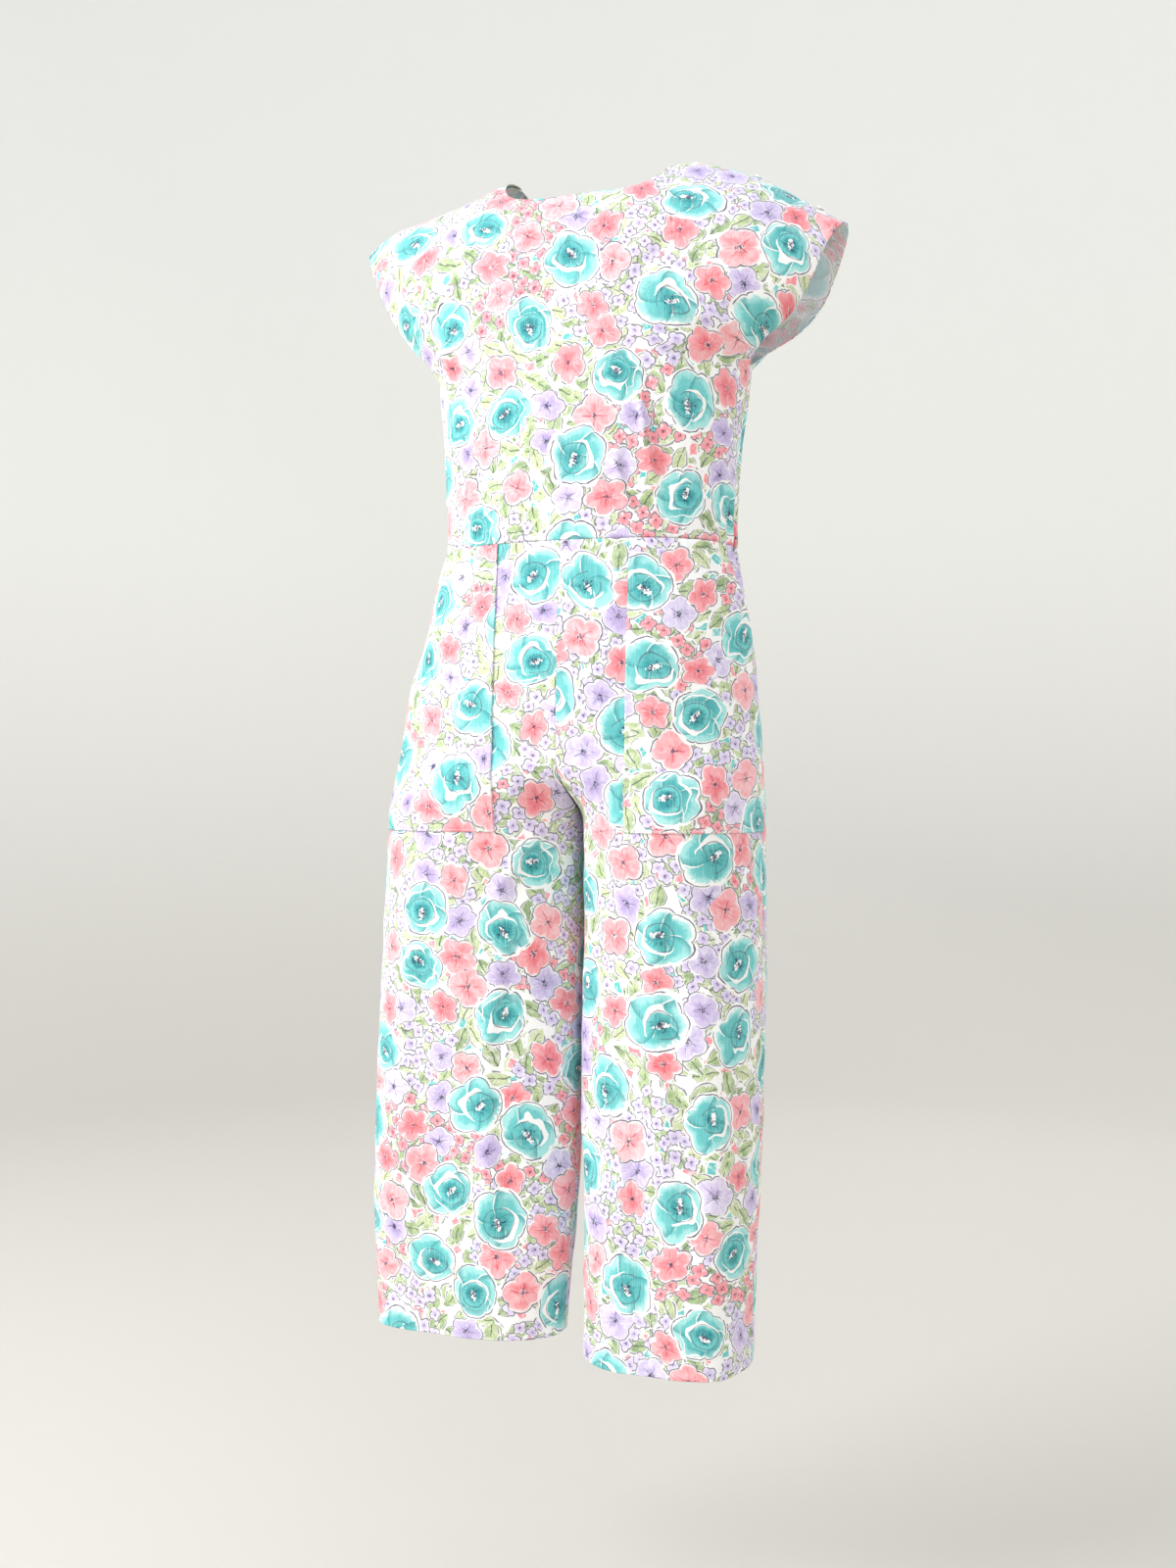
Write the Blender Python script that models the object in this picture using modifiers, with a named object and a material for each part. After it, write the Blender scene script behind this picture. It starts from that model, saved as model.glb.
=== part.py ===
"""A cap-sleeved jumpsuit of light cotton with a gathered waist, cropped wide legs and patch pockets.

It keeps the hollow form it has when worn. The front faces -Y and the wearer's left is +X. The origin is
midway between the neck ends of the two shoulder lines, where the wearer holds it up. Sizes are metres.
"""

import bmesh
import bpy
import numpy as np
from mathutils import Matrix, Vector

WALL = 0.0012
SEAM_GAP = 0.0003
LAYER = WALL + SEAM_GAP

WAIST = 0.435
UNDERARM = 0.235
CROTCH = 0.745
HEM = 1.318

NECK_HALF = 0.100
NECK_DROP = {"front": 0.053, "back": 0.020}
NECK_SQUARENESS = 5.0
NECK_FULLNESS = 0.6
SHOULDER_ROUND = 0.110
SLEEVE_FLARE = 0.22
SLEEVE_FULL_LEVEL = 0.8
SECTION_SQUARENESS = 2.2

HALF_COLUMNS = 20
NECK_COLUMNS = 7
SIDE_COLUMNS = 4
POCKET_COLUMNS = 5
CENTRE_COLUMNS = 4
COLUMN_ANGLE = np.pi / 2 / HALF_COLUMNS

# Slopes are measured over this step, and edge points take theirs from this far inside the edge.
SLOPE_STEP = 1e-4
INSET = 5e-4
FOLD_INSET = 2e-3

POCKET_INNER = 0.074
POCKET_BOTTOM = CROTCH
MOUTH_END = 0.560
MOUTH_EASE = 0.0008
POCKET_GAPE = {"right": 0.008, "left": 0.005}

LEG_REACH = {"right": 0.977, "left": 1.0}
SEAM_CALM = 0.08
LEG_FOLD_GROWTH = 0.45
TORSO_FOLD_TAPER = 0.7

LAP_START_LEVEL = 0.38
LAP_LEVELS = 0.16
LAP_START_SHARE = 0.2
LAP_SHARES = 0.1

GATHER_HEIGHT = 0.0034
GATHER_REACH = 0.050
GATHER_UNEVEN = 0.2
GATHER_DRIFT = 1.7

BUTTON_LEVEL = 0.06
BUTTON_PLACES = (0.115, 0.185, 0.255)
BUTTON_RADIUS = 0.0050
BUTTON_SIDES = 12
BUTTON_MERGE = 1e-5
# Shares of the radius and heights above the cloth, from the middle of the dish over the rim to the foot.
BUTTON_PROFILE = (
    (0.00, 0.0014),
    (0.60, 0.0014),
    (0.76, 0.0024),
    (0.94, 0.0020),
    (1.00, 0.0011),
    (0.84, 0.0000),
    (0.00, 0.0000),
)

PRINT_TINTS = {
    "bodice_front": (0.80, 0.86, 0.82),
    "bodice_back": (0.80, 0.84, 0.82),
    "front_leg": (0.82, 0.86, 0.84),
    "back_leg": (0.80, 0.84, 0.84),
    "pocket": (0.84, 0.87, 0.85),
}
COTTON_ROUGHNESS = 0.85
BUTTON_WHITE = (0.93, 0.92, 0.90)
BUTTON_ROUGHNESS = 0.25

SIDES = {"right": -1, "left": 1}
FACES = {"front": -1, "back": 1}

# Depths are half sections measured from the centre line, and "down" is the distance below the origin.
TORSO_COLUMNS = ("down", "half", "front", "back", "centre")
TORSO = (
    (0.000, 0.180, 0.100, 0.080, 0.000),
    (0.080, 0.180, 0.108, 0.090, -0.022),
    (0.150, 0.180, 0.115, 0.096, -0.030),
    (0.235, 0.180, 0.118, 0.100, -0.036),
    (0.310, 0.172, 0.115, 0.100, -0.041),
    (0.380, 0.166, 0.109, 0.100, -0.045),
    (0.435, 0.163, 0.105, 0.105, -0.048),
)

LEG_COLUMNS = ("down", "inner", "outer", "front", "back", "centre")
LEGS = {
    "right": (
        (0.435, 0.00015, 0.163, 0.105, 0.105, -0.048),
        (0.500, 0.00015, 0.174, 0.108, 0.122, -0.050),
        (0.580, 0.00015, 0.205, 0.112, 0.134, -0.052),
        (0.660, 0.00015, 0.218, 0.112, 0.134, -0.054),
        (0.745, 0.002, 0.230, 0.105, 0.122, -0.056),
        (0.850, 0.004, 0.240, 0.090, 0.100, -0.058),
        (1.000, 0.006, 0.248, 0.076, 0.085, -0.060),
        (1.150, 0.012, 0.254, 0.066, 0.075, -0.062),
        (1.318, 0.027, 0.248, 0.060, 0.070, -0.062),
    ),
    "left": (
        (0.435, 0.00015, 0.163, 0.105, 0.105, -0.048),
        (0.500, 0.00015, 0.176, 0.110, 0.122, -0.050),
        (0.580, 0.00015, 0.188, 0.115, 0.134, -0.052),
        (0.660, 0.00015, 0.193, 0.115, 0.134, -0.054),
        (0.745, 0.002, 0.197, 0.110, 0.126, -0.056),
        (0.850, 0.003, 0.199, 0.098, 0.108, -0.058),
        (1.000, 0.003, 0.198, 0.088, 0.096, -0.060),
        (1.150, 0.002, 0.193, 0.082, 0.090, -0.062),
        (1.318, 0.001, 0.186, 0.078, 0.086, -0.062),
    ),
}

SHOULDER_COLUMNS = ("out", "right", "left")
SHOULDER = (
    (0.000, 0.000, 0.000),
    (0.100, 0.000, 0.000),
    (0.150, 0.019, 0.011),
    (0.200, 0.033, 0.035),
    (0.250, 0.048, 0.069),
    (0.284, 0.074, 0.091),
)

SLEEVE_COLUMNS = ("fall", "right", "left")
SLEEVE = (
    (0.000, 0.276, 0.284),
    (0.056, 0.259, 0.272),
    (0.098, 0.246, 0.262),
    (0.131, 0.233, 0.252),
    (0.170, 0.212, 0.230),
    (0.217, 0.180, 0.180),
)
SLEEVE_TIP = {"right": SLEEVE[0][1], "left": SLEEVE[0][2]}

FRONT_LEVELS = (0.0, 0.06, 0.12, 0.22, 0.38, 0.58, 0.78, 1.0, 1.2, 1.4, 1.6, 1.8, 2.0)
BACK_LEVELS = (-0.12, -0.06, 0.0, 0.12, 0.22, 0.38, 0.58, 0.78, 1.0, 1.2, 1.4, 1.6, 1.8, 2.0)
LEG_ROWS = (0.435, 0.446, 0.462, 0.490, 0.525, 0.560, 0.610, 0.655, 0.700, 0.745, 0.820, 0.940, 1.120, 1.318)
POCKET_ROWS = LEG_ROWS.index(POCKET_BOTTOM)
CROTCH_START = {"front": 0.655, "back": 0.590}

# "around" runs from 0 at the side seam to 1 at the seam between the legs.
LEG_FOLD_COLUMNS = ("side", "face", "around_top", "around_end", "start", "end", "width", "height")
LEG_FOLDS = (
    ("left", "front", 0.30, 0.26, 0.80, 1.50, 0.09, 0.007),
    ("left", "front", 0.62, 0.52, 0.86, 1.50, 0.08, -0.006),
    ("right", "front", 0.24, 0.22, 0.84, 1.50, 0.09, 0.005),
    ("right", "front", 0.50, 0.44, 0.90, 1.50, 0.08, -0.005),
    ("left", "back", 0.25, 0.28, 0.56, 1.50, 0.08, 0.009),
    ("left", "back", 0.52, 0.50, 0.70, 1.50, 0.08, -0.008),
    ("left", "back", 0.78, 0.66, 0.80, 1.50, 0.08, 0.007),
    ("right", "back", 0.22, 0.26, 0.60, 1.50, 0.08, 0.008),
    ("right", "back", 0.47, 0.46, 0.66, 1.50, 0.08, -0.009),
    ("right", "back", 0.74, 0.64, 0.78, 1.50, 0.08, 0.008),
)

TORSO_FOLD_COLUMNS = ("face", "start_x", "start_down", "end_x", "end_down", "width", "height")
TORSO_FOLDS = (
    ("front", 0.205, 0.212, 0.105, 0.172, 0.016, -0.006),
    ("front", -0.200, 0.215, -0.120, 0.160, 0.016, -0.005),
    ("front", 0.088, 0.270, 0.112, 0.395, 0.014, -0.005),
    ("back", 0.195, 0.212, 0.090, 0.185, 0.018, -0.006),
    ("back", -0.195, 0.214, -0.100, 0.180, 0.018, -0.006),
)


def smooth(amount):
    amount = np.clip(amount, 0.0, 1.0)
    return amount * amount * (3 - 2 * amount)


def read(table, columns, place):
    """Each column's value at the places along the first, on a smooth curve through the rows."""
    rows = np.array(table)
    slopes = np.gradient(rows, rows[:, 0], axis=0)
    before = np.clip(np.searchsorted(rows[:, 0], place, side="right") - 1, 0, len(rows) - 2)
    span = (rows[before + 1, 0] - rows[before, 0])[..., None]
    t = np.clip((np.asarray(place)[..., None] - rows[before, :1]) / span, 0.0, 1.0)
    curve = (1 - t) ** 2 * ((1 + 2 * t) * rows[before] + t * span * slopes[before])
    curve += t**2 * ((3 - 2 * t) * rows[before + 1] - (1 - t) * span * slopes[before + 1])
    return {name: curve[..., k] for k, name in enumerate(columns)}


def across(angle):
    """How far out a rounded section reaches, from 1 at the side seam through 0 to -1 at the inner seam."""
    flat = np.cos(angle)
    return np.sign(flat) * np.abs(flat) ** (2 / SECTION_SQUARENESS)


def deep(angle):
    return np.abs(np.sin(angle)) ** (2 / SECTION_SQUARENESS)


def gathers(column, side):
    """The waist's elastic gathers, one wave for two columns, uneven in height and low at each seam."""
    uneven = GATHER_UNEVEN * np.sin(GATHER_DRIFT * column + side)
    return -np.cos(np.pi * column) * (1 - GATHER_UNEVEN + uneven)


def gather_fade(distance):
    return GATHER_HEIGHT * np.exp(-distance / GATHER_REACH)


def pushed(surface, a, b, amount, outward, level=True):
    """The surface's points moved out along its normal, or along the level part of that normal."""
    here = surface(a, b)
    along_a = surface(a + SLOPE_STEP, b) - surface(a - SLOPE_STEP, b)
    along_b = surface(a, b + SLOPE_STEP) - surface(a, b - SLOPE_STEP)
    normal = np.cross(along_a, along_b) * outward
    if level:
        normal[:, 2] = 0.0
    normal /= np.linalg.norm(normal, axis=1, keepdims=True)
    return here + normal * np.asarray(amount)[:, None]


def shoulder_fall(x):
    row = read(SHOULDER, SHOULDER_COLUMNS, np.abs(x))
    return np.where(x < 0, row["right"], row["left"])


def fall_at(girth):
    """The fall below the shoulder line at a distance over it, counted in shoulder radii."""
    girth = np.abs(girth)
    return SHOULDER_ROUND * np.where(girth < np.pi / 2, 1 - np.cos(girth), 1 + girth - np.pi / 2)


def girth_at(fall):
    rounded = np.arccos(np.clip(1 - fall / SHOULDER_ROUND, -1.0, 1.0))
    return np.where(fall < SHOULDER_ROUND, rounded, np.pi / 2 - 1 + fall / SHOULDER_ROUND)


def bodice_edge(s, level):
    """The half width at a level: the sleeve's hem from 0 to 1, then the side seam from 1 to 2."""
    hem_fall = fall_at(np.clip(level, 0, 1) * girth_at(np.array(SLEEVE[-1][0])))
    hem = read(SLEEVE, SLEEVE_COLUMNS, hem_fall)
    hem = np.where(s < 0, hem["right"], hem["left"])
    down = UNDERARM + (WAIST - UNDERARM) * np.clip(level - 1, 0, 1)
    return np.where(level < 1, hem, read(TORSO, TORSO_COLUMNS, down)["half"])


def sleeve_tip(s):
    return np.where(s < 0, SLEEVE_TIP["right"], SLEEVE_TIP["left"])


def shoulder_place(s):
    """How far out a column stands along the neck and the shoulder line, for its share of the half width."""
    share = np.clip(np.abs(s), 0, 1)
    neck_share = NECK_COLUMNS / HALF_COLUMNS
    past_neck = (share - neck_share) / (1 - neck_share)
    out = NECK_HALF + (sleeve_tip(s) - NECK_HALF) * past_neck
    return np.where(share < neck_share, NECK_HALF * share / neck_share, out)


def neck_squeeze(face, s, top_level):
    """How much closer the rows lie above the underarm, so that those below the neckline end on it."""
    place = shoulder_place(s)
    line = shoulder_fall(np.sign(s) * place)
    neck = NECK_DROP[face] * (1 - np.clip(place / NECK_HALF, 0, 1) ** NECK_SQUARENESS) ** NECK_FULLNESS
    neck_level = girth_at(neck - line) / girth_at(UNDERARM - line)
    on_neck = place < NECK_HALF * 1.001
    return np.where(on_neck, (1 - neck_level) / (1 - top_level), 1.0)


def bodice_surface(face, squeeze):
    """A function of (s, level): s runs from -1 at the right edge to 1 at the left, level down to the waist."""

    def surface(s, level):
        level = np.where(level < 1, 1 - squeeze * (1 - level), level)
        upper = smooth((1 - level) / SLEEVE_FULL_LEVEL)
        edge = bodice_edge(s, level)
        low_place = across((1 - np.clip(np.abs(s), 0, 1)) * np.pi / 2)
        x = np.sign(s) * edge * (low_place * (1 - upper) + shoulder_place(s) / sleeve_tip(s) * upper)

        line = shoulder_fall(x)
        girth_arm = girth_at(UNDERARM - line)
        girth_waist = girth_at(WAIST - line)
        girth = np.where(level < 1, girth_arm * level, girth_arm + (girth_waist - girth_arm) * (level - 1))

        z = -line - fall_at(girth)
        row = read(TORSO, TORSO_COLUMNS, -z)
        flare = 1 + SLEEVE_FLARE * np.clip(1 - level, 0, 1)
        inward = np.clip(np.abs(x) / (edge * flare), 0, 1) ** SECTION_SQUARENESS
        turned = np.sign(girth) * np.sin(np.minimum(np.abs(girth), np.pi / 2))
        on_front = (girth < 0) != (face == "front")
        depth = np.where(on_front, row["front"], row["back"]) * (1 - inward) ** (1 / SECTION_SQUARENESS) * turned
        y = row["centre"] + FACES[face] * (depth + SEAM_GAP / 2)
        return np.stack([x, y, z], axis=-1)

    return surface


def torso_folds(face, points):
    height = np.zeros(len(points))
    for values in TORSO_FOLDS:
        fold = dict(zip(TORSO_FOLD_COLUMNS, values))
        if fold["face"] != face:
            continue
        start = np.array([fold["start_x"], -fold["start_down"]])
        run = np.array([fold["end_x"], -fold["end_down"]]) - start
        offset = points[:, [0, 2]] - start
        along = np.clip(offset @ run / (run @ run), 0, 1)
        away = np.linalg.norm(offset - along[:, None] * run, axis=1)
        taper = 1 - TORSO_FOLD_TAPER * along**2
        height += fold["height"] * taper * np.exp(-((away / fold["width"]) ** 2))
    return height


def bodice_points(face, levels, u, v):
    """The outer points of the front or back bodice, for grid places u across and v from waist to top."""
    rows = np.interp(1 - v, np.linspace(0, 1, len(levels)), levels)
    s = np.clip(FACES[face] * (1 - 2 * u), -1, 1)
    surface = bodice_surface(face, neck_squeeze(face, s, levels[0]))
    inside_s = np.clip(s, INSET - 1, 1 - INSET)
    inside_level = np.clip(rows, levels[0] + INSET, levels[-1] - INSET)
    shift = surface(s, rows) - surface(inside_s, inside_level)
    column = (1 - np.abs(s)) * HALF_COLUMNS
    waves = gathers(column, np.sign(s)) * gather_fade((2.0 - rows) * (WAIST - UNDERARM))
    if face == "front":
        waves *= smooth(SIDE_COLUMNS - column)
    height = waves + torso_folds(face, surface(s, rows))
    points = pushed(surface, inside_s, inside_level, height, FACES[face])
    if face == "front":
        near_shoulder = smooth((LAP_START_LEVEL - rows) / LAP_LEVELS)
        lift = LAYER * near_shoulder * smooth((np.abs(s) - LAP_START_SHARE) / LAP_SHARES)
        lifted = pushed(surface, inside_s, inside_level, lift, FACES[face], level=False)
        points += lifted - surface(inside_s, inside_level)
    return points + shift


def fork_angle(face, down):
    """A section's angle at its inner edge: a quarter turn at the waist, a half turn below the crotch."""
    start = CROTCH_START[face]
    return np.pi / 2 * (1 + smooth((down - start) / (CROTCH - start)))


def leg_surface(side, face):
    """A function of (angle, down): angle turns from the side seam towards the centre and the inseam."""

    def surface(angle, down):
        row = read(LEGS[side], LEG_COLUMNS, down)
        width = (row["outer"] - row["inner"]) / (1 - across(fork_angle(face, down)))
        x = SIDES[side] * (row["outer"] - width + width * across(angle))
        y = row["centre"] + FACES[face] * (row[face] * deep(angle) + SEAM_GAP / 2)
        z = -down + (1 - LEG_REACH[side]) * np.maximum(down - CROTCH, 0)
        return np.stack([x, y, z], axis=-1)

    return surface


def leg_folds(side, face, around, down):
    height = np.zeros(len(around))
    for values in LEG_FOLDS:
        fold = dict(zip(LEG_FOLD_COLUMNS, values))
        if (fold["side"], fold["face"]) != (side, face):
            continue
        along = (down - fold["start"]) / (HEM - fold["start"])
        middle = fold["around_top"] + (fold["around_end"] - fold["around_top"]) * np.clip(along, 0, 1)
        shape = np.exp(-(((around - middle) / fold["width"]) ** 2))
        height += fold["height"] * shape * smooth(along / LEG_FOLD_GROWTH)
    return height


def leg_place(side, face, angle, column, down, lift=0.0):
    """Points on a leg panel with its folds and gathers, moved out by the lift."""
    surface = leg_surface(side, face)
    fork = fork_angle(face, down)
    around = angle / fork
    waves = gathers(column, SIDES[side]) * gather_fade(down - WAIST)
    if face == "front":
        waves *= smooth(SIDE_COLUMNS - column)
    seams = smooth(around / SEAM_CALM) * smooth((1 - around) / SEAM_CALM)
    height = waves + leg_folds(side, face, around, down) * seams + lift
    inside = np.clip(angle, FOLD_INSET, fork - FOLD_INSET)
    inside_down = np.clip(down, WAIST + INSET, HEM - INSET)
    outward = -SIDES[side] * FACES[face]
    shift = surface(angle, down) - surface(inside, inside_down)
    return pushed(surface, inside, inside_down, height, outward) + shift


def pocket_edge_angle(side, down):
    """The angle of the pocket's straight inner edge, a fixed distance from the centre front."""
    row = read(LEGS[side], LEG_COLUMNS, down)
    width = (row["outer"] - row["inner"]) / (1 - across(fork_angle("front", down)))
    reach = (POCKET_INNER - row["outer"] + width) / width
    return np.arccos(np.sign(reach) * np.abs(reach) ** (SECTION_SQUARENESS / 2))


def front_angle(side, column, down):
    """Front columns from the side seam: the gathers, then the pocket, then up to the centre seam."""
    mouth = SIDE_COLUMNS * COLUMN_ANGLE
    edge = pocket_edge_angle(side, down)
    fork = fork_angle("front", down)
    pocket = (column - SIDE_COLUMNS) / POCKET_COLUMNS
    centre = (column - SIDE_COLUMNS - POCKET_COLUMNS) / CENTRE_COLUMNS
    angle = np.where(column < SIDE_COLUMNS, column * COLUMN_ANGLE, mouth + (edge - mouth) * pocket)
    return np.where(centre > 0, edge + (fork - edge) * np.sin(np.clip(centre, 0, 1) * np.pi / 2), angle)


def from_side_seam(side, face, u):
    return u if SIDES[side] * FACES[face] > 0 else 1 - u


def front_leg_points(side, u, v):
    down = np.interp(1 - v, np.linspace(0, 1, len(LEG_ROWS)), LEG_ROWS)
    column = from_side_seam(side, "front", u) * (SIDE_COLUMNS + POCKET_COLUMNS + CENTRE_COLUMNS)
    points = leg_place(side, "front", front_angle(side, column, down), column, down)
    return points - [0, 0, SEAM_GAP / 2]


def back_leg_points(side, u, v):
    down = np.interp(1 - v, np.linspace(0, 1, len(LEG_ROWS)), LEG_ROWS)
    share = from_side_seam(side, "back", u)
    points = leg_place(side, "back", share * fork_angle("back", down), share * HALF_COLUMNS, down)
    return points - [0, 0, SEAM_GAP / 2]


def pocket_points(side, u, v):
    """The patch pocket: the leg's own points moved out, drawn in along the slanted mouth, which gapes."""
    rows = LEG_ROWS[: POCKET_ROWS + 1]
    down = np.interp(1 - v, np.linspace(0, 1, len(rows)), rows)
    column = from_side_seam(side, "front", u) * (SIDE_COLUMNS + POCKET_COLUMNS)
    along = np.clip((down - WAIST) / (MOUTH_END - WAIST), 0, 1)
    mouth = SIDE_COLUMNS * COLUMN_ANGLE * (1 - along)
    edge = pocket_edge_angle(side, down)
    full = front_angle(side, column, down)
    angle = mouth + full * (edge - mouth) / edge
    near_mouth = (1 - column / (SIDE_COLUMNS + POCKET_COLUMNS)) ** 2
    drawn_in = mouth / (SIDE_COLUMNS * COLUMN_ANGLE)
    gape = (POCKET_GAPE[side] * np.sin(np.pi * along) + MOUTH_EASE) * near_mouth
    ease = MOUTH_EASE * drawn_in * np.sin(np.pi * column / (SIDE_COLUMNS + POCKET_COLUMNS))
    leg_column = np.where(along < 1, np.maximum(column, SIDE_COLUMNS), column)
    points = leg_place(side, "front", angle, leg_column, down, LAYER + gape + ease)
    return points - [0, 0, SEAM_GAP / 2]


def finish(name, colour, roughness):
    material = bpy.data.materials.new(name)
    material.use_nodes = True
    shader = material.node_tree.nodes["Principled BSDF"]
    shader.inputs["Base Color"].default_value = (*colour, 1.0)
    shader.inputs["Roughness"].default_value = roughness
    return material


def cloth_panel(name, columns, rows, points, colour):
    """An open grid laid on the garment's form by its function, thickened inwards to one wall of cloth."""
    grid = bmesh.new()
    bmesh.ops.create_grid(grid, x_segments=columns, y_segments=rows, size=0.5)
    places = np.array([vertex.co[:2] for vertex in grid.verts], dtype=float) + 0.5
    for vertex, place in zip(grid.verts, points(places[:, 0], places[:, 1])):
        vertex.co = place
    mesh = bpy.data.meshes.new(name)
    grid.to_mesh(mesh)
    grid.free()
    mesh.shade_smooth()
    mesh.materials.append(finish(f"{name}_cotton", colour, COTTON_ROUGHNESS))
    panel = bpy.data.objects.new(name, mesh)
    garment.objects.link(panel)
    wall = panel.modifiers.new("wall", "SOLIDIFY")
    wall.thickness = WALL
    wall.offset = -1.0


def button(name, side, out):
    """A small dished button, its profile turned about the axis, standing on the front shoulder."""
    profile = bmesh.new()
    points = [profile.verts.new((share * BUTTON_RADIUS, 0, height)) for share, height in BUTTON_PROFILE]
    for first, second in zip(points, points[1:]):
        profile.edges.new((first, second))
    mesh = bpy.data.meshes.new(name)
    profile.to_mesh(mesh)
    profile.free()
    mesh.materials.append(finish(f"{name}_plastic", BUTTON_WHITE, BUTTON_ROUGHNESS))
    piece = bpy.data.objects.new(name, mesh)
    garment.objects.link(piece)
    turn = piece.modifiers.new("turn", "SCREW")
    turn.steps = BUTTON_SIDES
    turn.render_steps = BUTTON_SIDES
    turn.use_merge_vertices = True
    turn.merge_threshold = BUTTON_MERGE

    neck_share = NECK_COLUMNS / HALF_COLUMNS
    share = neck_share + (1 - neck_share) * (out - NECK_HALF) / (SLEEVE_TIP[side] - NECK_HALF)
    surface = bodice_surface("front", 1.0)
    places = np.full(2, SIDES[side] * share), np.full(2, BUTTON_LEVEL)
    heights = LAYER + np.array([SEAM_GAP, 1.0])
    foot, above = map(Vector, pushed(surface, *places, heights, FACES["front"], level=False))
    turned = (above - foot).to_track_quat("Z", "Y").to_matrix().to_4x4()
    piece.matrix_world = Matrix.Translation(foot) @ turned


for item in list(bpy.data.objects):
    bpy.data.objects.remove(item, do_unlink=True)
garment = bpy.data.collections.new("cropped_jumpsuit")
bpy.context.scene.collection.children.link(garment)

for face, levels in (("front", FRONT_LEVELS), ("back", BACK_LEVELS)):
    cloth_panel(
        f"bodice_{face}",
        2 * HALF_COLUMNS,
        len(levels) - 1,
        lambda u, v: bodice_points(face, levels, u, v),
        PRINT_TINTS[f"bodice_{face}"],
    )

for side in SIDES:
    front_columns = SIDE_COLUMNS + POCKET_COLUMNS + CENTRE_COLUMNS
    pieces = (
        ("front_leg", front_columns, len(LEG_ROWS) - 1, front_leg_points),
        ("back_leg", HALF_COLUMNS, len(LEG_ROWS) - 1, back_leg_points),
        ("pocket", SIDE_COLUMNS + POCKET_COLUMNS, POCKET_ROWS, pocket_points),
    )
    for name, columns, rows, points in pieces:
        cloth_panel(f"{name}_{side}", columns, rows, lambda u, v: points(side, u, v), PRINT_TINTS[name])
    for number, out in enumerate(BUTTON_PLACES, start=1):
        button(f"shoulder_button_{side}_{number}", side, out)
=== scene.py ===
"""Looks of a cap-sleeved cropped jumpsuit of printed cotton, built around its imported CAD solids.

It is hollow, as worn. The front faces -Y and the wearer's left is +X. Sizes are metres, and the origin is
midway between the neck ends of the shoulder lines. The panels follow the same cut as the solids, on finer
grids.
"""

import bmesh
import bpy
import numpy as np
from mathutils import Matrix, Vector


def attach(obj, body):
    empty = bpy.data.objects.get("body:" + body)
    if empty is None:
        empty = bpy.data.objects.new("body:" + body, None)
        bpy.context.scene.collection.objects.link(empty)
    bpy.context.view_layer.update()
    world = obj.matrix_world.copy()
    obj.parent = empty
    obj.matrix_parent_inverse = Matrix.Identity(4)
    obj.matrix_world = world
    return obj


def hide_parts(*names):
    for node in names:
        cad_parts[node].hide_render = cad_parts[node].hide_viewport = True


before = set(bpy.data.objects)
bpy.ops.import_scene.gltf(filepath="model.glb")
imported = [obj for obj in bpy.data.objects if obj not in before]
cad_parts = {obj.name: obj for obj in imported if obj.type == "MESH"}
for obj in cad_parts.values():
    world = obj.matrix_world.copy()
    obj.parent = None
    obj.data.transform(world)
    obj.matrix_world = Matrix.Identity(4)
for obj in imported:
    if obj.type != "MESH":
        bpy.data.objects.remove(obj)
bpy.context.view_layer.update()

# The camera: level, a little to the wearer's left of the front and at the height of the pockets, as in the
# photograph.
CAMERA_PLACE = (0.553, -1.760, -0.694)
CAMERA_YAW = np.radians(18.0)
FOCAL_PIXELS = 1636.0
IMAGE_HEIGHT = 1600.0
SENSOR = 36.0


def placed(name, data):
    """A new object of the data, in the scene."""
    made = bpy.data.objects.new(name, data)
    bpy.context.scene.collection.objects.link(made)
    return made


lens = bpy.data.cameras.new("camera")
lens.sensor_width = SENSOR
lens.lens = FOCAL_PIXELS / IMAGE_HEIGHT * SENSOR
camera = placed("camera", lens)
camera.location = CAMERA_PLACE
camera.rotation_euler = (np.pi / 2, 0.0, CAMERA_YAW)
bpy.context.scene.camera = camera
bpy.context.scene.view_settings.view_transform = "Standard"


# The cloth: a light, crisp plain-weave cotton with a faint slub, white, printed all over with a watercolour
# floral. Poppies, smaller five-petalled flowers, pansies, florets and leaves are stamped on scattered spots,
# each in its white margin with a thin sketched ink line. The wrong side shows the same print, washed out.
def paint(red, green, blue):
    """A screen colour from 0 to 255 as the linear colour that a shader takes."""
    screen = np.array([red, green, blue]) / 255.0
    linear = np.where(screen < 0.04045, screen / 12.92, ((screen + 0.055) / 1.055) ** 2.4)
    return (*(float(part) for part in linear), 1.0)


GROUND = paint(252, 250, 249)
INK = paint(80, 70, 98)
NAVY = paint(38, 44, 82)


def feed(node, sockets):
    """Links values to a node's sockets, by place or name, and sets plain numbers and colours on them."""
    for key, value in sockets.items():
        if isinstance(value, Value):
            value.tree.links.new(value.socket, node.inputs[key])
        else:
            node.inputs[key].default_value = value


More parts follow.
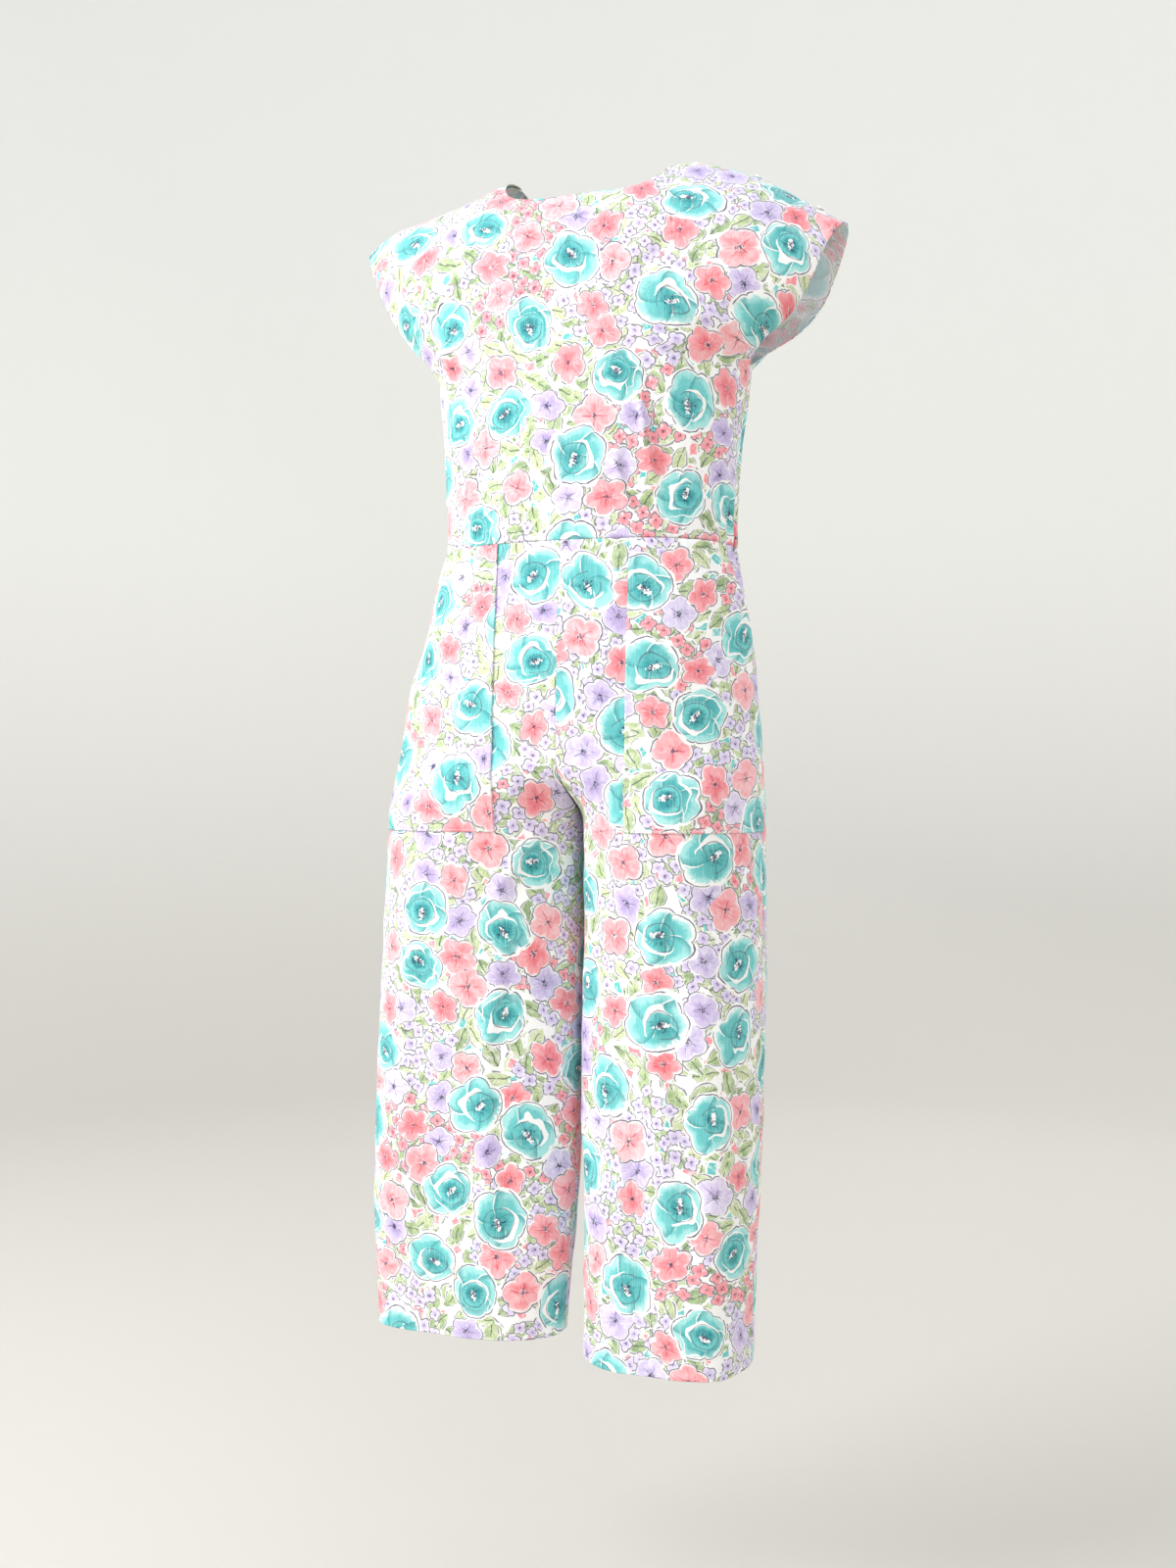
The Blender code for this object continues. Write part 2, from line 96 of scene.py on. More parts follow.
class Value:
    """A shader socket. Sums, products and comparisons of these add their Math nodes."""

    def __init__(self, tree, socket):
        self.tree = tree
        self.socket = socket

    def node(self, kind, settings, sockets):
        """Adds a node, sets it, feeds its sockets by place or name, and returns its outputs by name."""
        made = self.tree.nodes.new(kind)
        for name, setting in settings.items():
            setattr(made, name, setting)
        feed(made, sockets)
        return {out.name: Value(self.tree, out) for out in made.outputs if out.enabled}

    def maths(self, operation, *values):
        return self.node("ShaderNodeMath", {"operation": operation}, dict(enumerate(values)))["Value"]

    def __add__(self, other):
        return self.maths("ADD", self, other)

    def __sub__(self, other):
        return self.maths("SUBTRACT", self, other)

    def __rsub__(self, other):
        return self.maths("SUBTRACT", other, self)

    def __mul__(self, other):
        return self.maths("MULTIPLY", self, other)

    def __truediv__(self, other):
        return self.maths("DIVIDE", self, other)

    def __rtruediv__(self, other):
        return self.maths("DIVIDE", other, self)

    def __pow__(self, other):
        return self.maths("POWER", self, other)

    def __abs__(self):
        return self.maths("ABSOLUTE", self)

    def __gt__(self, other):
        return self.maths("GREATER_THAN", self, other)

    def __lt__(self, other):
        return self.maths("LESS_THAN", self, other)

    __radd__ = __add__
    __rmul__ = __mul__

    def ramp(self, low, high):
        """A soft step from 0 at low to 1 at high; low may be the larger."""
        settings = {"interpolation_type": "SMOOTHSTEP"}
        return self.node("ShaderNodeMapRange", settings, {0: self, 1: low, 2: high})["Result"]

    def cosine(self):
        return self.maths("COSINE", self)

    def sine(self):
        return self.maths("SINE", self)

    def fraction(self):
        return self.maths("FRACT", self)

    def most(self, other):
        return self.maths("MAXIMUM", self, other)

    def over(self, under, colour):
        """The colour laid over the one under it where this mask is 1."""
        return self.node("ShaderNodeMix", {"data_type": "RGBA"}, {0: self, 6: under, 7: colour})["Result"]

    def vectors(self, operation, other):
        return self.node("ShaderNodeVectorMath", {"operation": operation}, {0: self, 1: other})["Vector"]

    def scaled(self, amount):
        return self.node("ShaderNodeVectorMath", {"operation": "SCALE"}, {0: self, 3: amount})["Vector"]

    def turned(self, angle):
        sockets = {"Vector": self, "Angle": angle}
        return self.node("ShaderNodeVectorRotate", {"rotation_type": "Z_AXIS"}, sockets)["Vector"]

    def parts(self):
        made = self.node("ShaderNodeSeparateXYZ", {}, {0: self})
        return made["X"], made["Y"], made["Z"]

    def noise(self, scale, detail=2.0):
        return self.node("ShaderNodeTexNoise", {}, {"Vector": self, "Scale": scale, "Detail": detail})["Fac"]


def joined(x, y, z):
    return x.node("ShaderNodeCombineXYZ", {}, {0: x, 1: y, 2: z})["Vector"]


class Spots:
    """Scattered places on the cloth, the nearest to each point, for one kind of printed motif."""

    def __init__(self, place, spacing, jitter, shift):
        self.turn = shift[2]
        shift = (shift[0], shift[1], 0.0)
        lattice = place.scaled(1 / spacing).vectors("ADD", shift).turned(self.turn)
        sockets = {"Vector": lattice, "Scale": 1.0, "Randomness": jitter}
        found = lattice.node("ShaderNodeTexVoronoi", {"voronoi_dimensions": "2D"}, sockets)
        self.distance = found["Distance"] * spacing
        self.away = lattice.vectors("SUBTRACT", found["Position"]).scaled(spacing)
        unturned = found["Position"].turned(-self.turn)
        self.centre = unturned.vectors("SUBTRACT", shift).scaled(spacing)
        self.first, self.second, self.third = found["Color"].parts()
        self.kept = None

    def clear_of(self, others, reach):
        """Keeps only the spots that lie further than the reach from every kept spot of the others."""
        free = others.distance > reach
        if others.kept is not None:
            free = free.most(1 - others.kept)
        self.kept = free if self.kept is None else self.kept * free


# Spacings and radii of the print's motifs, from the poppies down to the leaves and dabs.
POPPY, POPPY_R = 0.097, 0.0300
BLOOM, BLOOM_R = 0.058, 0.0215
PANSY, PANSY_R = 0.050, 0.0205
FLORET, FLORET_R = 0.0170, 0.0082
LEAF, LEAF_LENGTH, LEAF_WIDTH = 0.0290, 0.0155, 0.0080
DAB, DAB_R = 0.0270, 0.0085


def poppy_spots(place):
    return Spots(place, POPPY, 0.45, (0.0, 0.0, 0.35))


def bloom_spots(place):
    spots = Spots(place, BLOOM, 0.5, (7.3, 3.1, 0.9))
    spots.clear_of(poppy_spots(spots.centre), POPPY_R + 0.45 * BLOOM_R)
    return spots


def pansy_spots(place):
    spots = Spots(place, PANSY, 0.5, (2.7, 9.4, 1.7))
    spots.clear_of(poppy_spots(spots.centre), POPPY_R + 0.30 * PANSY_R)
    spots.clear_of(bloom_spots(spots.centre), BLOOM_R + 0.35 * PANSY_R)
    return spots


class Motif:
    """A motif's own drawing place: x and y from its heart in its radii, turned and stretched by chance."""

    def __init__(self, spots, radius, spread=0.25, stretch=0.3):
        size = radius * (1 - 0.5 * spread + spread * spots.third)
        x, y, _ = spots.away.turned(spots.first * (2 * np.pi)).scaled(1 / size).parts()
        self.x = x
        self.y = y * (1 + stretch * spots.second)
        self.chance = spots.second
        self.other_chance = spots.third
        self.flat = joined(self.x, self.y, spots.first * 9.0)
        self.wobble = self.flat.noise(1.3, 1.0) - 0.5
        self.pen_drift = self.flat.noise(2.6, 0.0) - 0.5
        self.pen_down = self.flat.noise(1.6, 0.0).ramp(0.33, 0.38)
        self.kept = spots.kept if spots.kept is not None else 1.0

    def reach(self, x=0.0, y=0.0, wobbling=0.35):
        """The distance and the angle from a point of the motif, with a hand-drawn unevenness."""
        off_x, off_y = self.x - x, self.y - y
        distance = (off_x * off_x + off_y * off_y) ** 0.5
        return distance * (1 + wobbling * self.wobble), off_y.maths("ARCTAN2", off_y, off_x)

    def rays(self, x, y, distance, scale):
        """Brush streaks that run out from a point."""
        off_x, off_y = self.x - x, self.y - y
        place = joined(off_x / distance, off_y / distance, distance * 0.35 + self.chance * 5.0)
        return place.noise(scale, 1.0)

    def petals(self, count, middle, length, breadth, wobbling=0.35):
        """Rounded petals about the heart: 0 in a petal's middle and 1 at its edge.

        It also gives how far aside of the petal's middle line a place is, and how far from the heart.
        """
        distance, angle = self.reach(wobbling=wobbling)
        sector = (angle * (count / (2 * np.pi)) + self.other_chance).fraction() - 0.5
        turn = sector * ((2 * np.pi) / count)
        along = (distance * turn.cosine() - middle) / length
        aside = distance * turn.sine() / breadth
        return (along * along + aside * aside) ** 0.5, aside, distance

    def ink(self, under, edge, at, width, strength):
        """A thin sketched line that follows an edge at a little distance, and breaks off now and then."""
        pen = abs(edge - at - 0.20 * self.pen_drift)
        return (self.pen_down * pen.ramp(width, 0.5 * width) * self.kept * strength).over(under, INK)

    def scribble(self, scale):
        return joined(self.x * 2.0, self.y, self.chance * 7.0).noise(scale, 1.0)


def dabs(under, place):
    """Loose petals and brush dabs in coral and teal, which show in the gaps between the others."""
    spots = Spots(place, DAB, 0.6, (5.5, 1.2, 0.2))
    motif = Motif(spots, DAB_R)
    shape = (abs(motif.x) * 1.3 + abs(motif.y + 0.4 * motif.x)) * (0.6 + 0.8 * motif.flat.noise(1.2, 0.0))
    fill = (spots.second > 0.5).over(paint(252, 150, 158), paint(96, 200, 198))
    fill = (motif.flat.noise(2.0, 1.0).ramp(0.42, 0.72) * 0.5).over(fill, GROUND)
    result = shape.ramp(1.30, 1.22).over(under, GROUND)
    return shape.ramp(1.0, 0.86).over(result, fill)


def leaves(under, place, shift):
    """Pointed leaves in sage and yellow green, with a midrib and quick dark strokes for the veins."""
    spots = Spots(place, LEAF, 0.45, shift)
    motif = Motif(spots, 1.0, 0.3, 0.0)
    x, y = motif.x / LEAF_LENGTH, motif.y / LEAF_WIDTH
    flat = joined(x, y * 0.5, spots.third * 8.0)
    bow = y + (x * x) * (spots.third - 0.5) + 0.6 * (flat.noise(1.4, 0.0) - 0.5)
    aside = abs(bow)
    outline = (1 - x * x) * (1.0 + 0.25 * x)
    edge = aside / outline.most(0.02) + 0.10 * (flat.noise(7.0, 0.0) - 0.5)
    tone = flat.noise(1.5, 1.0) + 0.5 * (spots.second - 0.5)
    fill = tone.ramp(0.28, 0.62).over(paint(216, 225, 180), paint(184, 202, 150))
    fill = (tone.ramp(0.58, 0.82) * 0.85).over(fill, paint(144, 168, 122))
    fill = (flat.noise(2.2, 1.0).ramp(0.52, 0.72) * 0.60).over(fill, GROUND)
    result = (edge.ramp(1.46, 1.38) * outline.ramp(-0.26, -0.19)).over(under, GROUND)
    inside = edge.ramp(1.0, 0.88) * outline.ramp(0.02, 0.08)
    result = inside.over(result, fill)
    comb = (x * 3.6 - aside * 1.8 + spots.third).fraction()
    veins = comb.ramp(0.17, 0.06) * flat.noise(3.2, 0.0).ramp(0.42, 0.50) * edge.ramp(0.90, 0.65)
    rib = aside.ramp(0.12, 0.05) * flat.noise(1.8, 0.0).ramp(0.36, 0.42)
    result = (veins.most(rib) * inside * 0.80).over(result, paint(66, 82, 74))
    pen = abs(edge - 1.13).ramp(0.15, 0.07) * flat.noise(1.7, 0.0).ramp(0.40, 0.46) * outline.ramp(0.0, 0.1)
    return (pen * 0.75).over(result, INK)


def florets(under, place):
    """Heads of small four-petalled florets, lilac or pink, each drawn round in ink with a dark eye."""
    spots = Spots(place, FLORET, 0.45, (1.9, 4.7, 0.6))
    spots.clear_of(poppy_spots(spots.centre), POPPY_R + 0.3 * FLORET_R)
    heads = spots.centre.noise(9.0, 0.0)
    spots.kept = spots.kept * (heads > 0.47)
    motif = Motif(spots, FLORET_R)
    edge, _, distance = motif.petals(4.0, 0.50, 0.50, 0.46)
    pink = spots.centre.noise(5.0, 0.0) > 0.55
    fill = pink.over(paint(230, 218, 244), paint(252, 164, 172))
    deep = pink.over(paint(192, 170, 222), paint(242, 120, 132))
    fill = (motif.flat.noise(2.0, 1.0).ramp(0.50, 0.75) * 0.7).over(fill, GROUND)
    fill = (distance.ramp(0.75, 0.10) * 0.6).over(fill, deep)
    result = (edge.ramp(1.34, 1.24) * motif.kept).over(under, GROUND)
    result = (edge.ramp(1.0, 0.90) * motif.kept).over(result, fill)
    result = motif.ink(result, edge, 1.10, 0.20, 0.90)
    eye = motif.scribble(3.0).ramp(0.46, 0.54) * distance.ramp(0.30, 0.18) * motif.kept
    return (eye * 0.85).over(result, NAVY)


def blossom(under, spots, radius, count, breadth, colours, fading, veins, heart):
    """Open blossoms of four or five rounded petals, washed and streaked, with fine lines from the heart."""
    pale, middle, deep = colours
    motif = Motif(spots, radius)
    edge, aside, distance = motif.petals(count, 0.52, 0.50, breadth / count, 0.28)
    rays = motif.rays(0.0, 0.0, distance, 7.0)
    wash = motif.flat.noise(1.9, 1.0)
    tone = 0.8 * (rays - 0.5) + 0.9 * (wash - 0.5) + 0.35 * motif.chance
    fill = (tone + 0.30).ramp(0.0, 0.60).over(pale, middle)
    fill = ((tone + distance.ramp(0.95, 0.15) * 0.55).ramp(0.35, 0.95) * 0.85).over(fill, deep)
    fill = ((edge.ramp(0.62, 1.0) * wash.ramp(0.42, 0.60)) * fading).over(fill, GROUND)
    result = (edge.ramp(1.19, 1.14) * motif.kept).over(under, GROUND)
    result = (edge.ramp(1.0, 0.95) * motif.kept).over(result, fill)
    rib = abs(aside + 0.25 * (motif.flat.noise(3.0, 0.0) - 0.5)).ramp(0.075, 0.025)
    rib = rib * distance.ramp(0.72, 0.45) * motif.flat.noise(2.4, 0.0).ramp(0.44, 0.50) * motif.kept
    result = (rib * 0.75).over(result, veins)
    result = motif.ink(result, edge, 1.07, 0.078, 0.92)
    scribble = motif.scribble(7.0)
    eye = (distance + 0.30 * (scribble - 0.5)).ramp(heart + 0.05, heart - 0.01) * scribble.ramp(0.40, 0.48)
    stamens = scribble.ramp(0.58, 0.64) * distance.ramp(heart + 0.20, heart + 0.06)
    return (eye.most(stamens) * motif.kept * 0.9).over(result, NAVY)


def poppy(under, spots):
    """Large teal poppies: outer petals about an off-centre cup, white crescents, and a dark heart."""
    pale, middle, deep = TEALS
    motif = Motif(spots, POPPY_R, 0.2, 0.25)
    distance, angle = motif.reach(wobbling=0.5)
    lobes = abs((angle * 2.5 + motif.chance * 3.0).cosine()) ** 0.4
    edge = distance / (0.84 + 0.16 * lobes)
    cup, way = motif.reach(0.14, -0.10, wobbling=1.1)
    facing = 0.5 + 0.5 * (way - 6.0 * motif.chance).cosine()
    away = 1 - facing
    ringed = motif.other_chance < 0.5
    rays = motif.rays(0.14, -0.10, cup, 7.5)
    wash = motif.flat.noise(1.7, 1.0)

    tone = 0.9 * (rays - 0.5) + 0.8 * (wash - 0.5)
    outer = (tone + edge.ramp(0.95, 0.55)).ramp(0.05, 0.75).over(pale, middle)
    petal_line = ((angle + 0.9 * distance) * (4 / (2 * np.pi)) + motif.other_chance).fraction()
    outer = (petal_line.ramp(0.72, 1.0) * 0.75).over(outer, deep)
    outer = (petal_line.ramp(0.075, 0.03) * motif.flat.noise(1.5, 0.0).ramp(0.46, 0.54)).over(outer, GROUND)
    outer = (cup.ramp(0.86, 0.56) * away * (0.25 + 0.5 * ringed)).over(outer, deep)
    inner = (tone + cup.ramp(0.10, 0.55)).ramp(0.25, 0.95).over(deep, middle)
    inner = ((tone + cup.ramp(0.30, 0.60)).ramp(0.85, 1.30) * 0.8).over(inner, pale)
    open_fill = (tone + cup.ramp(0.75, 0.10)).ramp(0.30, 1.20).over(outer, deep)
    fill = (cup.ramp(0.57, 0.55) * ringed).over(open_fill, inner)

    thick = (0.13 * facing * facing - 0.02).most(0.001)
    crescent = (abs(cup - 0.57) / thick).ramp(1.0, 0.8) * (0.5 < ringed + facing)
    thin = (0.06 * away * ringed - 0.01).most(0.001)
    crescent = crescent.most((abs(cup - 0.80) / thin).ramp(1.0, 0.7) * edge.ramp(0.99, 0.93))
    fringe = (edge + 0.35 * (rays - 0.5)).ramp(0.84, 0.98) * facing.ramp(0.35, 0.05) * (1 - ringed)
    fill = crescent.most(fringe).over(fill, GROUND)

    result = (edge.ramp(1.16, 1.12) * motif.kept).over(under, GROUND)
    result = (edge.ramp(1.0, 0.96) * motif.kept).over(result, fill)
    result = motif.ink(result, edge, 1.05, 0.029, 0.92)
    result = motif.ink(result, cup / edge.most(1.0), 0.50, 0.030, 0.60)
    scribble = motif.scribble(7.5)
    fleck_x, fleck_y = motif.x - 0.20, motif.y + 0.13
    fleck = (fleck_x * fleck_x + fleck_y * fleck_y * 6.0) ** 0.5
    result = ((fleck + 0.5 * (scribble - 0.5)).ramp(0.25, 0.21)).over(result, GROUND)
    eye = (cup + 0.30 * (scribble - 0.5)).ramp(0.14, 0.08) * scribble.ramp(0.38, 0.46)
    stamens = scribble.ramp(0.56, 0.61) * cup.ramp(0.34, 0.20)
    return (eye.most(stamens) * 0.9).over(result, NAVY)


TEALS = (paint(170, 229, 227), paint(112, 204, 203), paint(50, 154, 158))
CORALS = (paint(252, 208, 212), paint(249, 163, 169), paint(238, 112, 122))
LILACS = (paint(238, 230, 246), paint(212, 196, 232), paint(176, 156, 206))
RED_VEIN = paint(206, 62, 84)
PLUM_VEIN = paint(112, 92, 150)

BLEED = 0.0012
printed = bpy.data.node_groups.new("watercolour_floral", "ShaderNodeTree")
printed.interface.new_socket("Cloth", in_out="INPUT", socket_type="NodeSocketVector")
printed.interface.new_socket("Colour", in_out="OUTPUT", socket_type="NodeSocketColor")
cloth_place = Value(printed, printed.nodes.new("NodeGroupInput").outputs["Cloth"])
bleed = cloth_place.node("ShaderNodeTexNoise", {}, {"Vector": cloth_place, "Scale": 260.0, "Detail": 0.0})
blur = bleed["Color"].vectors("SUBTRACT", (0.5, 0.5, 0.5)).scaled(BLEED)
stamped = cloth_place.vectors("ADD", blur)
print_colour = leaves(dabs(leaves(GROUND, stamped, (9.1, 2.6, 2.2)), stamped), stamped, (4.1, 6.6, 1.2))
print_colour = florets(print_colour, stamped)
pansies, blooms = pansy_spots(stamped), bloom_spots(stamped)
print_colour = blossom(print_colour, pansies, PANSY_R, 5.0, 2.5, LILACS, 0.85, PLUM_VEIN, 0.14)
four_or_five = 4.0 + (blooms.second > 0.45)
print_colour = blossom(print_colour, blooms, BLOOM_R, four_or_five, 2.25, CORALS, 0.85, RED_VEIN, 0.09)
print_colour = poppy(print_colour, poppy_spots(stamped))
feed(printed.nodes.new("NodeGroupOutput"), {"Colour": print_colour})


def finish(name, kind="ShaderNodeTexCoord", output="Object"):
    """A new material, its shader, and the place on the piece that its pattern reads."""
    material = bpy.data.materials.new(name)
    material.use_nodes = True
    tree = material.node_tree
    return material, tree.nodes["Principled BSDF"], Value(tree, tree.nodes.new(kind).outputs[output])


def printed_cotton(name, washed):
    """The cotton's right side, or its wrong side with the print washed out."""
    material, shader, place = finish(name, "ShaderNodeUVMap", "UV")
    colour = place.node("ShaderNodeGroup", {"node_tree": printed}, {"Cloth": place})["Colour"]
    across_threads, along_threads, _ = place.parts()
    weft = joined(across_threads * 60.0, along_threads * 1300.0, 0.0).noise(1.0, 1.0)
    warp = joined(across_threads * 800.0, along_threads * 45.0, 3.0).noise(1.0, 1.0)
    colour = (warp.ramp(0.50, 0.78) * 0.20 + weft.ramp(0.55, 0.80) * 0.08).over(colour, GROUND)
    colour = (warp.ramp(0.46, 0.26) * 0.07 + weft.ramp(0.42, 0.24) * 0.04).over(colour, paint(160, 158, 176))
    if washed:
        sockets = {0: washed, 6: colour, 7: GROUND}
        colour = colour.node("ShaderNodeMix", {"data_type": "RGBA"}, sockets)["Result"]
    weave = (weft + warp) * 0.5
    bump = weave.node("ShaderNodeBump", {}, {"Strength": 0.22, "Distance": 0.0004, "Height": weave})
    feed(shader, {"Base Color": colour, "Normal": bump["Normal"], "Roughness": 0.78})
    feed(shader, {"Specular IOR Level": 0.25, "Sheen Weight": 0.15})
    return material


right_side = printed_cotton("printed_cotton", 0.0)
wrong_side = printed_cotton("printed_cotton_wrong_side", 0.5)


# The bodice: a front and a back, each cut in one with its cap sleeves and gathered or eased into the waist.
# It is hollow, as worn. The neck and the sleeves have narrow turned hems, and the front's shoulder edge
# laps over the back's and buttons down on it. Each panel is laid on the solids' form by the same formulas.
SHELL = 0.0008
SEAM_GAP = 0.0003
LAYER = 0.0015

WAIST = 0.435
UNDERARM = 0.235
CROTCH = 0.745
HEM = 1.318

NECK_HALF = 0.100
NECK_DROP = {"front": 0.053, "back": 0.020}
NECK_SQUARENESS = 5.0
NECK_FULLNESS = 0.6
SHOULDER_ROUND = 0.110
SLEEVE_FLARE = 0.22
SLEEVE_FULL_LEVEL = 0.8
SECTION_SQUARENESS = 2.2

HALF_COLUMNS = 20
NECK_COLUMNS = 7
SIDE_COLUMNS = 4
COLUMN_ANGLE = np.pi / 2 / HALF_COLUMNS
NECK_SHARE = NECK_COLUMNS / HALF_COLUMNS
SLOPE_STEP = 1e-4
INSET = 5e-4

LAP_START_LEVEL = 0.38
LAP_LEVELS = 0.16
LAP_START_SHARE = 0.2
LAP_SHARES = 0.1
UNDERLAP_LEVEL = -0.12

GATHER_HEIGHT = 0.0034
GATHER_REACH = 0.050
GATHER_UNEVEN = 0.2
GATHER_DRIFT = 1.7

SIDES = {"right": -1, "left": 1}
FACES = {"front": -1, "back": 1}

# Depths are half sections measured from the centre line, and "down" is the distance below the origin.
TORSO_COLUMNS = ("down", "half", "front", "back", "centre")
TORSO = (
    (0.000, 0.180, 0.100, 0.080, 0.000),
    (0.080, 0.180, 0.108, 0.090, -0.022),
    (0.150, 0.180, 0.115, 0.096, -0.030),
    (0.235, 0.180, 0.118, 0.100, -0.036),
    (0.310, 0.172, 0.115, 0.100, -0.041),
    (0.380, 0.166, 0.109, 0.100, -0.045),
    (0.435, 0.163, 0.105, 0.105, -0.048),
)
SHOULDER_COLUMNS = ("out", "right", "left")
SHOULDER = (
    (0.000, 0.000, 0.000),
    (0.100, 0.000, 0.000),
    (0.150, 0.019, 0.011),
    (0.200, 0.033, 0.035),
    (0.250, 0.048, 0.069),
    (0.284, 0.074, 0.091),
)
SLEEVE_COLUMNS = ("fall", "right", "left")
SLEEVE = (
    (0.000, 0.276, 0.284),
    (0.056, 0.259, 0.272),
    (0.098, 0.246, 0.262),
    (0.131, 0.233, 0.252),
    (0.170, 0.212, 0.230),
    (0.217, 0.180, 0.180),
)
SLEEVE_TIP = {"right": SLEEVE[0][1], "left": SLEEVE[0][2]}

CREASE_COLUMNS = ("face", "start_x", "start_down", "end_x", "end_down", "width", "height")
TORSO_FOLD_TAPER = 0.7
TORSO_FOLDS = (
    ("front", 0.205, 0.212, 0.105, 0.172, 0.016, -0.006),
    ("front", -0.200, 0.215, -0.120, 0.160, 0.016, -0.005),
    ("front", 0.088, 0.270, 0.112, 0.395, 0.014, -0.005),
    ("back", 0.195, 0.212, 0.090, 0.185, 0.018, -0.006),
    ("back", -0.195, 0.214, -0.100, 0.180, 0.018, -0.006),
)
BODICE_CREASES = (
    ("front", -0.215, 0.190, -0.120, 0.135, 0.0060, 0.0051),
    ("front", -0.190, 0.228, -0.100, 0.190, 0.0070, 0.0044),
    ("front", -0.140, 0.180, -0.132, 0.295, 0.0055, 0.0051),
    ("front", 0.090, 0.185, 0.215, 0.205, 0.0060, 0.0054),
    ("front", 0.060, 0.215, 0.190, 0.232, 0.0070, 0.0048),
    ("front", 0.086, 0.255, 0.108, 0.400, 0.0055, 0.0054),
    ("front", 0.060, 0.330, 0.082, 0.425, 0.0060, 0.0031),
    ("front", -0.110, 0.330, -0.098, 0.425, 0.0060, 0.0037),
    ("front", -0.080, 0.120, -0.040, 0.200, 0.0120, 0.0027),
    ("front", 0.120, 0.100, 0.060, 0.165, 0.0100, 0.0031),
    ("front", -0.030, 0.290, 0.030, 0.345, 0.0120, 0.0020),
    ("back", 0.210, 0.190, 0.110, 0.140, 0.0065, 0.0051),
    ("back", 0.185, 0.225, 0.080, 0.195, 0.0075, 0.0048),
    ("back", -0.210, 0.190, -0.115, 0.145, 0.0065, 0.0048),
    ("back", -0.180, 0.228, -0.085, 0.200, 0.0075, 0.0044),
    ("back", 0.040, 0.120, 0.075, 0.220, 0.0120, 0.0027),
    ("back", -0.075, 0.110, -0.030, 0.210, 0.0120, 0.0026),
    ("back", 0.020, 0.290, 0.055, 0.400, 0.0075, 0.0037),
    ("back", -0.060, 0.300, -0.035, 0.415, 0.0075, 0.0041),
    ("back", 0.110, 0.280, 0.095, 0.400, 0.0070, 0.0044),
    ("back", -0.125, 0.285, -0.105, 0.405, 0.0070, 0.0044),
)
CREASE_BOW = 0.06
CREASE_TREMBLE = 0.0012
CREASE_FADES = (0.30, 0.40)
TROUGH = 0.6

# The cloth's slow unevenness: each wave's strength, radians to a metre across and down, and seed step.
UNEVEN_WAVES = ((1.0, 58, 31, 1.7), (0.8, -37, 74, 2.9), (0.5, 104, 12, -1.1), (0.4, 21, -119, 0.6))
UNEVEN_HEIGHT = 0.00045

PLEATS = 25
PLEAT_HEIGHT = 0.0019
PLEAT_START = 0.005
PLEAT_REACHES = (0.016, 0.013, 0.012)
FRONT_PLEATS_END = 0.68
FRONT_PLEATS_FADE = 0.12

NARROW_HEM = 0.007
HEM_STEP = 0.0004
HEM_SLOPE = 0.0012
HEM_PULL = 0.00045
HEM_PUCKER = 0.00035
HEM_PUCKER_STEP = 0.0105
SEAM_DIP = 0.0007
SEAM_PUCKER = 0.0004
SEAM_PUCKER_STEP = 0.013
PRINT_STARTS = {"bodice_front": (0.31, 0.22), "bodice_back": (1.43, 0.57)}


def smooth(amount):
    amount = np.clip(amount, 0.0, 1.0)
    return amount * amount * (3 - 2 * amount)


def bell(distance, width):
    return np.exp(-((distance / width) ** 2))


def read(table, columns, place):
    """Each column's value at the places along the first, on a smooth curve through the rows."""
    rows = np.array(table)
    slopes = np.gradient(rows, rows[:, 0], axis=0)
    before = np.clip(np.searchsorted(rows[:, 0], place, side="right") - 1, 0, len(rows) - 2)
    span = (rows[before + 1, 0] - rows[before, 0])[..., None]
    t = np.clip((np.asarray(place)[..., None] - rows[before, :1]) / span, 0.0, 1.0)
    curve = (1 - t) ** 2 * ((1 + 2 * t) * rows[before] + t * span * slopes[before])
    curve += t**2 * ((3 - 2 * t) * rows[before + 1] - (1 - t) * span * slopes[before + 1])
    return {name: curve[..., k] for k, name in enumerate(columns)}


def across(angle):
    """How far out a rounded section reaches, from 1 at the side seam through 0 to -1 at the inner seam."""
    flat = np.cos(angle)
    return np.sign(flat) * np.abs(flat) ** (2 / SECTION_SQUARENESS)


def deep(angle):
    return np.abs(np.sin(angle)) ** (2 / SECTION_SQUARENESS)


def gathers(column, side):
    """The waist's elastic gathers, one wave for two columns, uneven in height and low at each seam."""
    uneven = GATHER_UNEVEN * np.sin(GATHER_DRIFT * column + side)
    return -np.cos(np.pi * column) * (1 - GATHER_UNEVEN + uneven)


def gather_fade(distance):
    return GATHER_HEIGHT * np.exp(-distance / GATHER_REACH)


def pushed(surface, a, b, amount, outward, level=True):
    """The surface's points moved out along its normal, or along the level part of that normal."""
    here = surface(a, b)
    along_a = surface(a + SLOPE_STEP, b) - surface(a - SLOPE_STEP, b)
    along_b = surface(a, b + SLOPE_STEP) - surface(a, b - SLOPE_STEP)
    normal = np.cross(along_a, along_b) * outward
    if level:
        normal[:, 2] = 0.0
    normal /= np.linalg.norm(normal, axis=1, keepdims=True)
    return here + normal * np.asarray(amount)[:, None]


def shoulder_fall(x):
    row = read(SHOULDER, SHOULDER_COLUMNS, np.abs(x))
    return np.where(x < 0, row["right"], row["left"])


def fall_at(girth):
    """The fall below the shoulder line at a distance over it, counted in shoulder radii."""
    girth = np.abs(girth)
    return SHOULDER_ROUND * np.where(girth < np.pi / 2, 1 - np.cos(girth), 1 + girth - np.pi / 2)


def girth_at(fall):
    rounded = np.arccos(np.clip(1 - fall / SHOULDER_ROUND, -1.0, 1.0))
    return np.where(fall < SHOULDER_ROUND, rounded, np.pi / 2 - 1 + fall / SHOULDER_ROUND)


